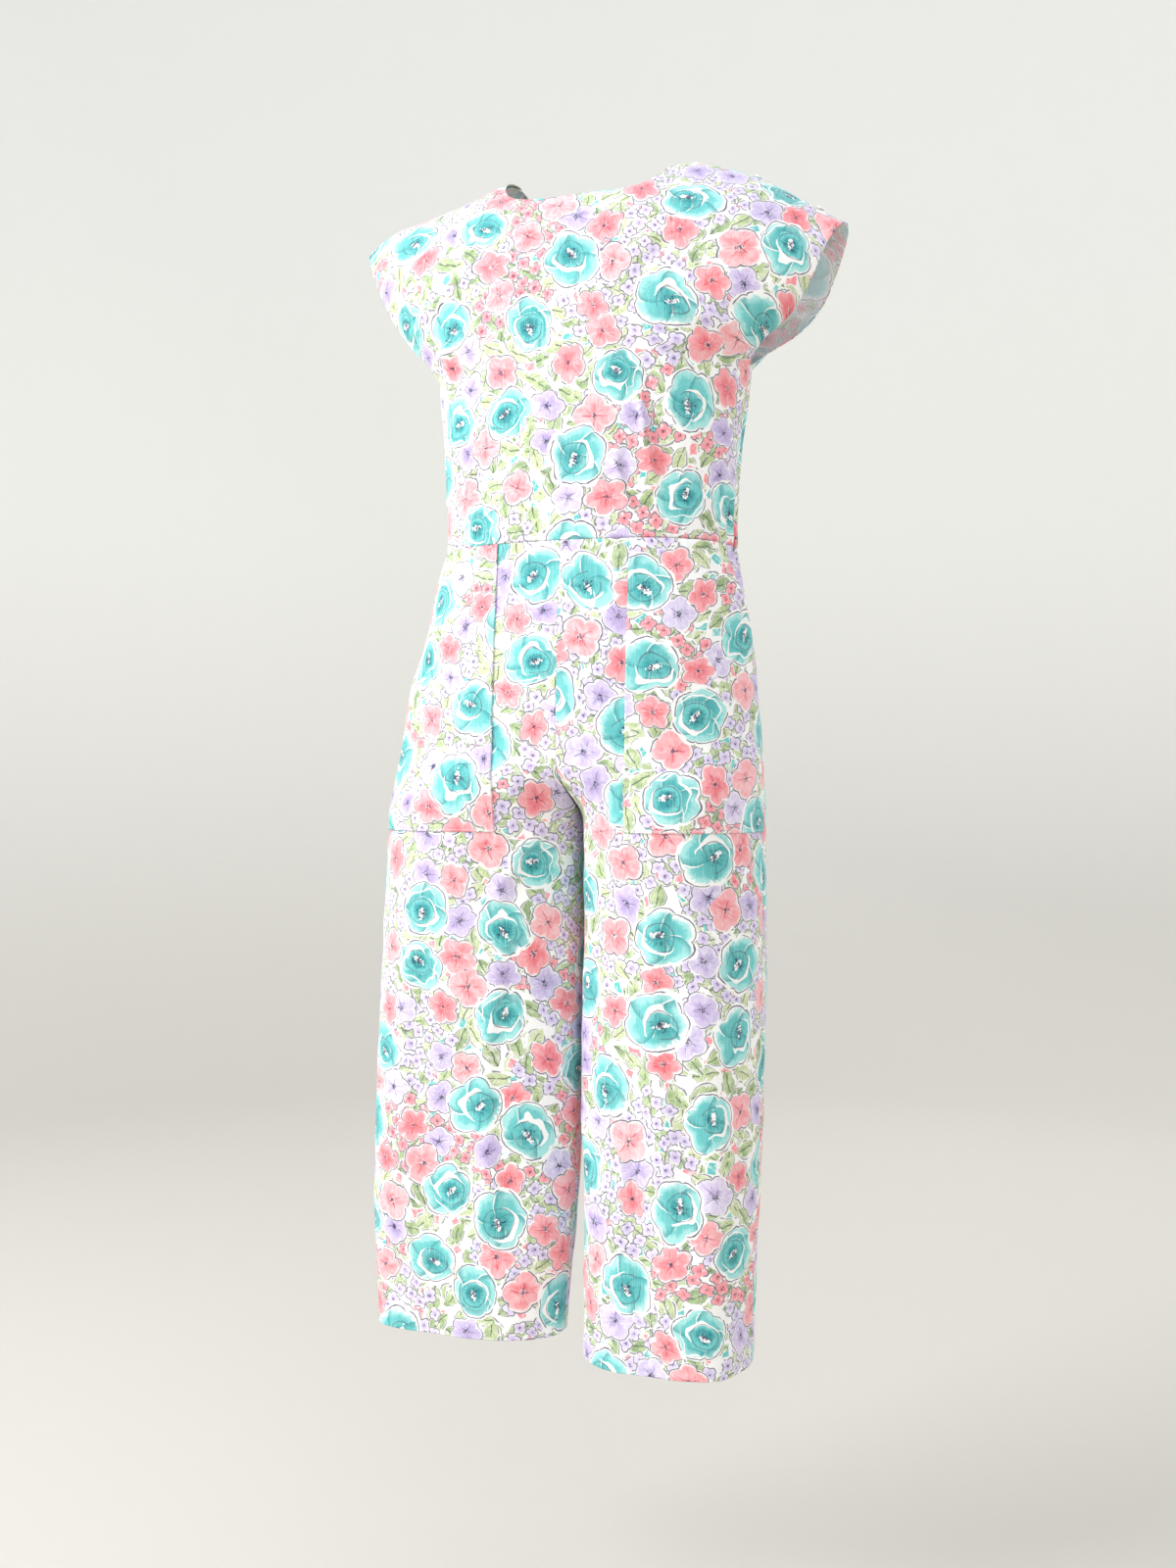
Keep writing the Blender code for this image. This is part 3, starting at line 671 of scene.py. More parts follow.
def bodice_edge(s, level):
    """The half width at a level: the sleeve's hem from 0 to 1, then the side seam from 1 to 2."""
    hem_fall = fall_at(np.clip(level, 0, 1) * girth_at(np.array(SLEEVE[-1][0])))
    hem = read(SLEEVE, SLEEVE_COLUMNS, hem_fall)
    hem = np.where(s < 0, hem["right"], hem["left"])
    down = UNDERARM + (WAIST - UNDERARM) * np.clip(level - 1, 0, 1)
    return np.where(level < 1, hem, read(TORSO, TORSO_COLUMNS, down)["half"])


def sleeve_tip(s):
    return np.where(s < 0, SLEEVE_TIP["right"], SLEEVE_TIP["left"])


def shoulder_place(s):
    """How far out a column stands along the neck and the shoulder line, for its share of the half width."""
    share = np.clip(np.abs(s), 0, 1)
    past_neck = (share - NECK_SHARE) / (1 - NECK_SHARE)
    out = NECK_HALF + (sleeve_tip(s) - NECK_HALF) * past_neck
    return np.where(share < NECK_SHARE, NECK_HALF * share / NECK_SHARE, out)


def neck_squeeze(face, s, top_level):
    """How much closer the rows lie above the underarm, so that those below the neckline end on it."""
    place = shoulder_place(s)
    line = shoulder_fall(np.sign(s) * place)
    neck = NECK_DROP[face] * (1 - np.clip(place / NECK_HALF, 0, 1) ** NECK_SQUARENESS) ** NECK_FULLNESS
    neck_level = girth_at(neck - line) / girth_at(UNDERARM - line)
    on_neck = place < NECK_HALF * 1.001
    return np.where(on_neck, (1 - neck_level) / (1 - top_level), 1.0)


def squeezed(level, squeeze):
    return np.where(level < 1, 1 - squeeze * (1 - level), level)


def bodice_surface(face, squeeze):
    """A function of (s, level): s is -1 at the right edge and 1 at the left, and level 2 at the waist."""

    def surface(s, level):
        level = squeezed(level, squeeze)
        upper = smooth((1 - level) / SLEEVE_FULL_LEVEL)
        edge = bodice_edge(s, level)
        low_place = across((1 - np.clip(np.abs(s), 0, 1)) * np.pi / 2)
        x = np.sign(s) * edge * (low_place * (1 - upper) + shoulder_place(s) / sleeve_tip(s) * upper)

        line = shoulder_fall(x)
        girth_arm = girth_at(UNDERARM - line)
        girth_waist = girth_at(WAIST - line)
        girth = np.where(level < 1, girth_arm * level, girth_arm + (girth_waist - girth_arm) * (level - 1))

        z = -line - fall_at(girth)
        row = read(TORSO, TORSO_COLUMNS, -z)
        flare = 1 + SLEEVE_FLARE * np.clip(1 - level, 0, 1)
        inward = np.clip(np.abs(x) / (edge * flare), 0, 1) ** SECTION_SQUARENESS
        turned = np.sign(girth) * np.sin(np.minimum(np.abs(girth), np.pi / 2))
        on_front = (girth < 0) != (face == "front")
        half_depth = np.where(on_front, row["front"], row["back"])
        depth = half_depth * (1 - inward) ** (1 / SECTION_SQUARENESS) * turned
        y = row["centre"] + FACES[face] * (depth + SEAM_GAP / 2)
        return np.stack([x, y, z], axis=-1)

    return surface


def torso_folds(face, points):
    height = np.zeros(len(points))
    for values in TORSO_FOLDS:
        fold = dict(zip(CREASE_COLUMNS, values))
        if fold["face"] != face:
            continue
        start = np.array([fold["start_x"], -fold["start_down"]])
        run = np.array([fold["end_x"], -fold["end_down"]]) - start
        offset = points[:, [0, 2]] - start
        along = np.clip(offset @ run / (run @ run), 0, 1)
        away = np.linalg.norm(offset - along[:, None] * run, axis=1)
        taper = 1 - TORSO_FOLD_TAPER * along**2
        height += fold["height"] * taper * bell(away, fold["width"])
    return height


def bodice_points(face, top_level, s, level):
    """The outer points of the front or back bodice at places across and down, with the solids' own folds."""
    squeeze = neck_squeeze(face, s, top_level)
    surface = bodice_surface(face, squeeze)
    inside_s = np.clip(s, INSET - 1, 1 - INSET)
    inside_level = np.clip(level, top_level + INSET, 2 - INSET)
    shift = surface(s, level) - surface(inside_s, inside_level)
    column = (1 - np.abs(s)) * HALF_COLUMNS
    waves = gathers(column, np.sign(s)) * gather_fade((2.0 - level) * (WAIST - UNDERARM))
    if face == "front":
        waves *= smooth(SIDE_COLUMNS - column)
    height = waves + torso_folds(face, surface(s, level))
    points = pushed(surface, inside_s, inside_level, height, FACES[face])
    if face == "front":
        near_shoulder = smooth((LAP_START_LEVEL - squeezed(level, squeeze)) / LAP_LEVELS)
        lift = LAYER * near_shoulder * smooth((np.abs(s) - LAP_START_SHARE) / LAP_SHARES)
        lifted = pushed(surface, inside_s, inside_level, lift, FACES[face], level=False)
        points += lifted - surface(inside_s, inside_level)
    return points + shift


def creased(creases, face, x, down):
    """The listed creases: each a bowed soft ridge with a shallower trough below it, faded at both ends."""
    height = np.zeros(len(x))
    for values in creases:
        crease = dict(zip(CREASE_COLUMNS, values))
        if crease["face"] != face:
            continue
        run_x, run_down = crease["end_x"] - crease["start_x"], crease["end_down"] - crease["start_down"]
        length = np.hypot(run_x, run_down)
        off_x, off_down = x - crease["start_x"], down - crease["start_down"]
        along = (off_x * run_x + off_down * run_down) / length**2
        away = (off_x * run_down - off_down * run_x) / length
        away = away + CREASE_BOW * length * np.sin(np.pi * along)
        away = away + CREASE_TREMBLE * np.sin(23.0 * along + 90 * run_x)
        faded = smooth(along / CREASE_FADES[0]) * smooth((1 - along) / CREASE_FADES[1])
        width = crease["width"] * (0.75 + 0.5 * along)
        ridge = bell(away, width) - TROUGH * bell(away - 1.5 * width, 1.1 * width)
        height += crease["height"] * faded * ridge
    return height


def undulation(x, down, seed):
    """The cloth's low, slow unevenness over 5 to 12 cm, about a millimetre high."""
    waves = (
        strength * np.sin(to_x * x + to_down * down + seed_step * seed)
        for strength, to_x, to_down, seed_step in UNEVEN_WAVES
    )
    return UNEVEN_HEIGHT * sum(waves)


def pleated(around, distance, reach_in=1.0):
    """Fine uneven gathers beside the waist seam, about 9 mm apart, each running out over its own length."""
    drift = 0.55 * np.sin(13.1 * around) + 0.3 * np.sin(31.0 * around + 1.0)
    phase = 2 * np.pi * (PLEATS * around + drift)
    strong = 0.60 + 0.40 * np.sin(17.3 * around + 0.8)
    mean, quick, slow = PLEAT_REACHES
    reach = np.maximum(mean + quick * np.sin(41.0 * around + 2.0) + slow * np.sin(11.0 * around), 0.006)
    fade = smooth(distance / PLEAT_START) * np.exp(-np.maximum(distance, 0) / reach)
    return PLEAT_HEIGHT * np.sin(phase) * strong * fade * reach_in


def front_pleats(around):
    """The front's gathers stay beside the sides: 1 there and 0 towards the centre."""
    return smooth((FRONT_PLEATS_END - around) / FRONT_PLEATS_FADE)


def hemmed(distance, along, width):
    """A turned hem: the doubled edge stands up a little, drawn down and puckered at its line of stitches."""
    band = HEM_STEP * smooth((width + HEM_SLOPE - distance) / HEM_SLOPE)
    drawn = -HEM_PULL * bell(distance - width, 0.0013)
    phase = along / HEM_PUCKER_STEP * 2 * np.pi + 1.5 * np.sin(along * 71)
    return band + drawn + HEM_PUCKER * np.sin(phase) * bell(distance - width, 0.006)


def seamed(distance, along):
    """Beside a seam the cloth dips and puckers a little."""
    dip = -SEAM_DIP * np.exp(-distance / 0.0022)
    phase = along / SEAM_PUCKER_STEP * 2 * np.pi + 2.0 * np.sin(along * 53)
    return dip + SEAM_PUCKER * np.sin(phase) * np.exp(-distance / 0.008)


def spaced(share, runs):
    """Grid lines spread unevenly: runs are (line, place) pairs, with places between them in step."""
    lines, places = np.array(runs, dtype=float).T
    return np.interp(share * lines[-1], lines, places)


class Panel:
    """A piece of printed cotton laid on a fine grid, with its lengths across and along and its edges."""

    def __init__(self, name, steps, base, relief, print_lay):
        """steps are the grid's columns and rows, and base gives the points for shares (u, v) of them.

        relief gives the finer heights for this panel's lengths, and print_lay gives the print's places across
        and along from the points laid in rows.
        """
        columns, rows = steps
        grid = bmesh.new()
        bmesh.ops.create_grid(grid, x_segments=columns, y_segments=rows, size=0.5)
        places = np.array([vertex.co[:2] for vertex in grid.verts], dtype=float) + 0.5
        mesh = bpy.data.meshes.new(name)
        grid.to_mesh(mesh)
        grid.free()

        self.name = name
        self.shape = (rows + 1, columns + 1)
        points = base(places[:, 0], places[:, 1])
        laid = points.reshape(*self.shape, 3)
        width, length = self.measured(laid)
        self.from_first, self.to_last = width.ravel(), (width[:, -1:] - width).ravel()
        self.from_low, self.to_high = length.ravel(), (length[-1:] - length).ravel()
        normals = np.cross(np.gradient(laid, axis=1), np.gradient(laid, axis=0)).reshape(-1, 3)
        self.normals = normals / np.maximum(np.linalg.norm(normals, axis=1, keepdims=True), 1e-12)
        heights = relief(self, places[:, 0], places[:, 1], points)
        self.points = points + self.normals * heights[:, None]

        print_place = np.stack([part.ravel() for part in print_lay(laid)], axis=-1) + PRINT_STARTS[name]
        mesh.vertices.foreach_set("co", self.points.ravel())
        corners = np.zeros(len(mesh.loops), dtype=np.int32)
        mesh.loops.foreach_get("vertex_index", corners)
        lay = mesh.uv_layers.new(name="cloth")
        lay.data.foreach_set("uv", print_place[corners].ravel())
        mesh.materials.append(right_side)
        mesh.materials.append(wrong_side)
        mesh.shade_smooth()
        self.piece = placed(f"{name}_cloth", mesh)
        wall = self.piece.modifiers.new("thickness", "SOLIDIFY")
        wall.thickness = SHELL
        wall.offset = -1.0
        wall.material_offset = 1
        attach(self.piece, "root")
        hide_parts(name)

    @staticmethod
    def measured(laid):
        """The cloth's lengths across, square to the columns, and along them, at points laid in rows."""
        run = np.gradient(laid, axis=0)
        run = run[:, 1:] + run[:, :-1]
        run /= np.maximum(np.linalg.norm(run, axis=2, keepdims=True), 1e-12)
        steps = np.diff(laid, axis=1)
        steps -= run * np.sum(steps * run, axis=2, keepdims=True)
        width = np.insert(np.cumsum(np.linalg.norm(steps, axis=2), axis=1), 0, 0.0, axis=1)
        length = np.insert(np.cumsum(np.linalg.norm(np.diff(laid, axis=0), axis=2), axis=0), 0, 0.0, axis=0)
        return width, length


BODICE_STEPS = (240, 136)
BODICE_MIDDLE = BODICE_STEPS[0] // 2
BODICE_HALF_RUNS = ((0, 0.0), (24, 0.300), (30, 0.338), (40, 0.350), (108, 0.960), (120, 1.0))
BODICE_COLUMN_RUNS = (
    *((BODICE_MIDDLE - column, -share) for column, share in reversed(BODICE_HALF_RUNS)),
    *((BODICE_MIDDLE + column, share) for column, share in BODICE_HALF_RUNS[1:]),
)
BODICE_ROW_RUNS = {
    "front": ((0, 2.0), (30, 1.70), (124, 0.06), (136, 0.0)),
    "back": ((0, 2.0), (34, 1.68), (122, 0.06), (136, UNDERLAP_LEVEL)),
}


def bodice_relief(face, top_level):
    def relief(panel, u, v, points):
        s = FACES[face] * spaced(1 - u, BODICE_COLUMN_RUNS)
        level = squeezed(spaced(v, BODICE_ROW_RUNS[face]), neck_squeeze(face, s, top_level))
        x, down = points[:, 0], -points[:, 2]
        from_side = np.minimum(panel.from_first, panel.to_last)
        sleeve = smooth((1.0 - level) / 0.04)
        inside = smooth(from_side / 0.018) * smooth(panel.from_low / 0.020) * smooth((level - 0.10) / 0.12)
        height = (creased(BODICE_CREASES, face, x, down) + undulation(x, down, 1 + FACES[face])) * inside
        height += hemmed(from_side, panel.to_high, NARROW_HEM) * sleeve * (level > top_level)
        height += seamed(from_side, panel.from_low) * (1 - sleeve)
        on_neck = smooth((NECK_SHARE + 0.01 - np.abs(s)) / 0.02)
        height += hemmed(panel.to_high, x, NARROW_HEM) * on_neck
        around = 1 - np.abs(s)
        reach_in = 1.0 if face == "back" else front_pleats(around)
        height += pleated(around, panel.from_low, reach_in)
        return height + seamed(panel.from_low, x)

    return relief


def bodice(face, top_level):
    def base(u, v):
        s = FACES[face] * spaced(1 - u, BODICE_COLUMN_RUNS)
        return bodice_points(face, top_level, s, spaced(v, BODICE_ROW_RUNS[face]))

    def print_lay(laid):
        """Measured on the cloth as it was before the neck was cut out of it."""
        rows, columns = laid.shape[:2]
        u, v = np.meshgrid(np.linspace(0, 1, columns), np.linspace(0, 1, rows))
        s, level = FACES[face] * spaced(1 - u, BODICE_COLUMN_RUNS), spaced(v, BODICE_ROW_RUNS[face])
        whole = bodice_surface(face, 1.0)(s.ravel(), level.ravel()).reshape(laid.shape)
        width, length = Panel.measured(whole)
        places = -squeezed(level, neck_squeeze(face, s, top_level))
        return [
            np.stack([np.interp(places[:, k], -level[:, k], part[:, k]) for k in range(columns)], axis=1)
            for part in (width - width[:, BODICE_MIDDLE, None], length)
        ]

    return Panel(f"bodice_{face}", BODICE_STEPS, base, bodice_relief(face, top_level), print_lay)


bodice_front = bodice("front", 0.0)
bodice_back = bodice("back", UNDERLAP_LEVEL)


# The legs: two fronts and two backs, wide and cropped above the ankle, seamed at the centre, the sides and
# the inside of each leg, the backs gathered into the elastic waist. Each ends in a turned and stitched hem.
LEG_REACH = {"right": 0.977, "left": 1.0}
SEAM_CALM = 0.08
LEG_FOLD_GROWTH = 0.45
FOLD_INSET = 2e-3
POCKET_INNER = 0.074
POCKET_BOTTOM = CROTCH
MOUTH_END = 0.560
POCKET_COLUMNS = 5
CENTRE_COLUMNS = 4
CROTCH_START = {"front": 0.655, "back": 0.590}
WIDE_HEM = 0.020
GRAIN_PLACE = 0.100

LEG_COLUMNS = ("down", "inner", "outer", "front", "back", "centre")
LEGS = {
    "right": (
        (0.435, 0.00015, 0.163, 0.105, 0.105, -0.048),
        (0.500, 0.00015, 0.174, 0.108, 0.122, -0.050),
        (0.580, 0.00015, 0.205, 0.112, 0.134, -0.052),
        (0.660, 0.00015, 0.218, 0.112, 0.134, -0.054),
        (0.745, 0.002, 0.230, 0.105, 0.122, -0.056),
        (0.850, 0.004, 0.240, 0.090, 0.100, -0.058),
        (1.000, 0.006, 0.248, 0.076, 0.085, -0.060),
        (1.150, 0.012, 0.254, 0.066, 0.075, -0.062),
        (1.318, 0.027, 0.248, 0.060, 0.070, -0.062),
    ),
    "left": (
        (0.435, 0.00015, 0.163, 0.105, 0.105, -0.048),
        (0.500, 0.00015, 0.176, 0.110, 0.122, -0.050),
        (0.580, 0.00015, 0.188, 0.115, 0.134, -0.052),
        (0.660, 0.00015, 0.193, 0.115, 0.134, -0.054),
        (0.745, 0.002, 0.197, 0.110, 0.126, -0.056),
        (0.850, 0.003, 0.199, 0.098, 0.108, -0.058),
        (1.000, 0.003, 0.198, 0.088, 0.096, -0.060),
        (1.150, 0.002, 0.193, 0.082, 0.090, -0.062),
        (1.318, 0.001, 0.186, 0.078, 0.086, -0.062),
    ),
}

# "around" runs from 0 at the side seam to 1 at the seam between the legs.
LEG_FOLD_COLUMNS = ("side", "face", "around_top", "around_end", "start", "end", "width", "height")
LEG_FOLDS = (
    ("left", "front", 0.30, 0.26, 0.80, 1.50, 0.09, 0.007),
    ("left", "front", 0.62, 0.52, 0.86, 1.50, 0.08, -0.006),
    ("right", "front", 0.24, 0.22, 0.84, 1.50, 0.09, 0.005),
    ("right", "front", 0.50, 0.44, 0.90, 1.50, 0.08, -0.005),
    ("left", "back", 0.25, 0.28, 0.56, 1.50, 0.08, 0.009),
    ("left", "back", 0.52, 0.50, 0.70, 1.50, 0.08, -0.008),
    ("left", "back", 0.78, 0.66, 0.80, 1.50, 0.08, 0.007),
    ("right", "back", 0.22, 0.26, 0.60, 1.50, 0.08, 0.008),
    ("right", "back", 0.47, 0.46, 0.66, 1.50, 0.08, -0.009),
    ("right", "back", 0.74, 0.64, 0.78, 1.50, 0.08, 0.008),
)
LEG_CREASES = (
    ("front", 0.030, 0.800, 0.042, 1.240, 0.0110, 0.0040),
    ("front", 0.120, 0.760, 0.135, 1.180, 0.0120, 0.0036),
    ("front", 0.016, 0.735, 0.070, 0.860, 0.0080, 0.0044),
    ("front", -0.016, 0.730, -0.085, 0.850, 0.0080, 0.0044),
    ("front", -0.060, 0.820, -0.075, 1.260, 0.0110, 0.0036),
    ("front", -0.160, 0.790, -0.180, 1.230, 0.0120, 0.0032),
    ("front", 0.070, 1.020, 0.090, 1.300, 0.0090, 0.0032),
    ("front", -0.110, 1.040, -0.125, 1.300, 0.0090, 0.0028),
    ("back", 0.020, 0.740, 0.090, 0.840, 0.0090, 0.0052),
    ("back", -0.020, 0.740, -0.095, 0.845, 0.0090, 0.0052),
    ("back", 0.060, 0.500, 0.075, 0.800, 0.0100, 0.0040),
    ("back", -0.070, 0.490, -0.090, 0.820, 0.0100, 0.0040),
    ("back", 0.120, 0.800, 0.130, 1.260, 0.0110, 0.0036),
    ("back", -0.140, 0.780, -0.160, 1.260, 0.0110, 0.0036),
    ("back", 0.050, 0.900, 0.045, 1.280, 0.0100, 0.0036),
    ("back", -0.060, 0.920, -0.065, 1.290, 0.0100, 0.0036),
)
LEG_STEPS = (102, 206)
LEG_ROW_RUNS = ((0, HEM), (26, HEM - 0.026), (176, 0.505), (206, WAIST))
PRINT_STARTS.update(front_leg_right=(2.17, 1.91), front_leg_left=(3.29, 2.63))
PRINT_STARTS.update(back_leg_right=(4.41, 3.37), back_leg_left=(5.59, 4.11))


def fork_angle(face, down):
    """A section's angle at its inner edge: a quarter turn at the waist, a half turn below the crotch."""
    start = CROTCH_START[face]
    return np.pi / 2 * (1 + smooth((down - start) / (CROTCH - start)))


def leg_surface(side, face):
    """A function of (angle, down): angle turns from the side seam towards the centre and the inseam."""

    def surface(angle, down):
        row = read(LEGS[side], LEG_COLUMNS, down)
        width = (row["outer"] - row["inner"]) / (1 - across(fork_angle(face, down)))
        x = SIDES[side] * (row["outer"] - width + width * across(angle))
        y = row["centre"] + FACES[face] * (row[face] * deep(angle) + SEAM_GAP / 2)
        z = -down + (1 - LEG_REACH[side]) * np.maximum(down - CROTCH, 0)
        return np.stack([x, y, z], axis=-1)

    return surface


def leg_folds(side, face, around, down):
    height = np.zeros(len(around))
    for values in LEG_FOLDS:
        fold = dict(zip(LEG_FOLD_COLUMNS, values))
        if (fold["side"], fold["face"]) != (side, face):
            continue
        along = (down - fold["start"]) / (HEM - fold["start"])
        middle = fold["around_top"] + (fold["around_end"] - fold["around_top"]) * np.clip(along, 0, 1)
        height += fold["height"] * bell(around - middle, fold["width"]) * smooth(along / LEG_FOLD_GROWTH)
    return height


def leg_place(side, face, angle, column, down, lift=0.0):
    """Points on a leg panel with its folds and gathers, moved out by the lift."""
    surface = leg_surface(side, face)
    fork = fork_angle(face, down)
    around = angle / fork
    waves = gathers(column, SIDES[side]) * gather_fade(down - WAIST)
    if face == "front":
        waves *= smooth(SIDE_COLUMNS - column)
    seams = smooth(around / SEAM_CALM) * smooth((1 - around) / SEAM_CALM)
    height = waves + leg_folds(side, face, around, down) * seams + lift
    inside = np.clip(angle, FOLD_INSET, fork - FOLD_INSET)
    inside_down = np.clip(down, WAIST + INSET, HEM - INSET)
    outward = -SIDES[side] * FACES[face]
    shift = surface(angle, down) - surface(inside, inside_down)
    return pushed(surface, inside, inside_down, height, outward) + shift - [0, 0, SEAM_GAP / 2]


def pocket_edge_angle(side, down):
    """The angle of the pocket's straight inner edge, a fixed distance from the centre front."""
    row = read(LEGS[side], LEG_COLUMNS, down)
    width = (row["outer"] - row["inner"]) / (1 - across(fork_angle("front", down)))
    reach = (POCKET_INNER - row["outer"] + width) / width
    return np.arccos(np.sign(reach) * np.abs(reach) ** (SECTION_SQUARENESS / 2))


def front_angle(side, column, down):
    """Front columns from the side seam: the gathers, then the pocket, then up to the centre seam."""
    mouth = SIDE_COLUMNS * COLUMN_ANGLE
    edge = pocket_edge_angle(side, down)
    fork = fork_angle("front", down)
    pocket = (column - SIDE_COLUMNS) / POCKET_COLUMNS
    centre = (column - SIDE_COLUMNS - POCKET_COLUMNS) / CENTRE_COLUMNS
    angle = np.where(column < SIDE_COLUMNS, column * COLUMN_ANGLE, mouth + (edge - mouth) * pocket)
    return np.where(centre > 0, edge + (fork - edge) * np.sin(np.clip(centre, 0, 1) * np.pi / 2), angle)


def straight_grain(side):
    """The print of a leg runs straight down a grain line in the middle of the leg."""

    def print_lay(laid):
        width, length = Panel.measured(laid)
        order = 1 if laid[0, 0, 0] < laid[0, -1, 0] else -1

        def on_grain(lengths):
            """Each row's length where the grain line crosses it."""
            rows = zip(laid[:, ::order, 0], lengths[:, ::order])
            return np.array([[np.interp(SIDES[side] * GRAIN_PLACE, *row)] for row in rows])

        down = on_grain(length)
        return width - on_grain(width), np.broadcast_to(down - down[-1], width.shape)

    return print_lay


def from_side_seam(side, face, share):
    return share if SIDES[side] * FACES[face] > 0 else 1 - share


def mouth_along(down):
    """How far down the pocket's slanted mouth a place is, from 0 at the waist to 1 at the side seam."""
    return np.clip((down - WAIST) / (MOUTH_END - WAIST), 0, 1)


def leg(side, face):
    front = face == "front"
    last = SIDE_COLUMNS + POCKET_COLUMNS + CENTRE_COLUMNS if front else HALF_COLUMNS
    column_runs = ((0, 0.0), (8, 0.03 * last), (94, 0.97 * last), (102, last))

    def places(u, v):
        down = spaced(v, LEG_ROW_RUNS)
        column = spaced(from_side_seam(side, face, u), column_runs)
        angle = front_angle(side, column, down) if front else column / last * fork_angle("back", down)
        return angle, column, down

    def base(u, v):
        return leg_place(side, face, *places(u, v))

    def relief(panel, u, v, points):
        angle, column, down = places(u, v)
        x = points[:, 0]
        from_side = np.minimum(panel.from_first, panel.to_last)
        above_foot = smooth((POCKET_BOTTOM + 0.012 - down) / 0.010)
        covered = above_foot * smooth((np.abs(x) - POCKET_INNER + 0.008) / 0.008)
        open_cloth = 1 - covered if front else 1.0
        inside = smooth(from_side / 0.020) * smooth(panel.from_low / 0.030) * smooth(panel.to_high / 0.025)
        height = creased(LEG_CREASES, face, x, down) + undulation(x, down, 3 + SIDES[side])
        height *= inside * open_cloth
        height += seamed(from_side, down) * open_cloth + hemmed(panel.from_low, panel.from_first, WIDE_HEM)
        around = angle / (np.pi / 2)
        reach_in = front_pleats(around) if front else 1.0
        height += pleated(around, panel.to_high, reach_in)
        return height + seamed(panel.to_high, panel.from_first)

    return Panel(f"{face}_leg_{side}", LEG_STEPS, base, relief, straight_grain(side))


legs = {(side, face): leg(side, face) for side in SIDES for face in FACES}


# The pockets: one large patch on each front leg, sewn into the waist and the side seam and topstitched down
# its straight inner edge and its foot. The mouth is a slanted hem from the waist to the side seam and gapes.
MOUTH_EASE = 0.0008
POCKET_GAPE = {"right": 0.008, "left": 0.005}
MOUTH_HEM = 0.012
POCKET_STEPS = (68, 86)
POCKET_ROW_RUNS = ((0, POCKET_BOTTOM), (12, POCKET_BOTTOM - 0.012), (74, 0.470), (86, WAIST))
PRINT_STARTS.update(pocket_right=(6.73, 5.27), pocket_left=(7.89, 6.07))


def pocket(side):
    last = SIDE_COLUMNS + POCKET_COLUMNS
    column_runs = ((0, 0.0), (14, 0.08 * last), (58, 0.93 * last), (68, last))

    def places(u, v):
        down = spaced(v, POCKET_ROW_RUNS)
        column = spaced(from_side_seam(side, "front", u), column_runs)
        along = mouth_along(down)
        mouth = SIDE_COLUMNS * COLUMN_ANGLE * (1 - along)
        edge = pocket_edge_angle(side, down)
        angle = mouth + front_angle(side, column, down) * (edge - mouth) / edge
        return angle, column, down

    def base(u, v):
        angle, column, down = places(u, v)
        along = mouth_along(down)
        near_mouth = (1 - column / last) ** 2
        gape = (POCKET_GAPE[side] * np.sin(np.pi * along) + MOUTH_EASE) * near_mouth
        ease = MOUTH_EASE * (1 - along) * np.sin(np.pi * column / last)
        leg_column = np.where(along < 1, np.maximum(column, SIDE_COLUMNS), column)
        return leg_place(side, "front", angle, leg_column, down, LAYER + gape + ease)

    def relief(panel, u, v, points):
        angle, column, down = places(u, v)
        side_first = from_side_seam(side, "front", 0.0) == 0.0
        from_mouth, from_inner = panel.from_first, panel.to_last
        if not side_first:
            from_mouth, from_inner = from_inner, from_mouth
        inside = smooth(from_mouth / 0.030) * smooth(from_inner / 0.020)
        inside *= smooth(panel.from_low / 0.020) * smooth(panel.to_high / 0.020)
        swell = 0.0010 + undulation(points[:, 0], down, 8 + SIDES[side])
        height = np.maximum(swell, 0) * inside
        on_mouth = smooth((MOUTH_END + 0.004 - down) / 0.008)
        height += hemmed(from_mouth, down, MOUTH_HEM) * on_mouth
        height += hemmed(from_inner, down, 0.002) + hemmed(panel.from_low, points[:, 0], 0.002)
        height += seamed(from_mouth, down) * (1 - on_mouth)
        around = angle / (np.pi / 2)
        height += pleated(around, panel.to_high, front_pleats(around))
        return np.maximum(height + seamed(panel.to_high, panel.from_first), -0.0002)

    return Panel(f"pocket_{side}", POCKET_STEPS, base, relief, straight_grain(side))


pockets = {side: pocket(side) for side in SIDES}


# The stitching: white cotton thread in rows of small stitches. One row holds each turned hem, at the neck,
# the sleeves, the shoulder laps and the leg ends, and one holds each pocket's mouth, inner edge and foot.
THREAD_PITCH = 0.0032
THREAD_LENGTH = 0.0025
THREAD_WIDTH = 0.0006
THREAD_HEIGHT = 0.0004
HEM_LINE = 0.0062
LEG_HEM_LINE = 0.0188
POCKET_LINE = 0.0020
MOUTH_LINE = 0.0108

thread_cotton, thread_shader, thread_place = finish("thread_cotton")
twist = thread_place.noise(2600.0, 1.0)
thread_colour = twist.ramp(0.35, 0.65).over(paint(226, 222, 226), paint(250, 248, 248))
feed(thread_shader, {"Base Color": thread_colour, "Roughness": 0.55, "Sheen Weight": 0.3})


def route(panel, distance, offset, kept=None):
    """The panel's points and normals at a distance from an edge, on each grid line that runs in from it."""
    laid = np.concatenate([panel.points, panel.normals], axis=1).reshape(*panel.shape, 6)
    distance = distance.reshape(panel.shape)
    if any(distance[0, end] == distance[-1, end] == distance.min() for end in (0, -1)):
        laid, distance = laid.swapaxes(0, 1), distance.T
    if distance[0, 0] > distance[-1, 0]:
        laid, distance = laid[::-1], distance[::-1]
    lines = range(distance.shape[1]) if kept is None else np.flatnonzero(kept)
    return np.array(
        [[np.interp(offset, distance[:, k], laid[:, k, part]) for part in range(6)] for k in lines]
    )


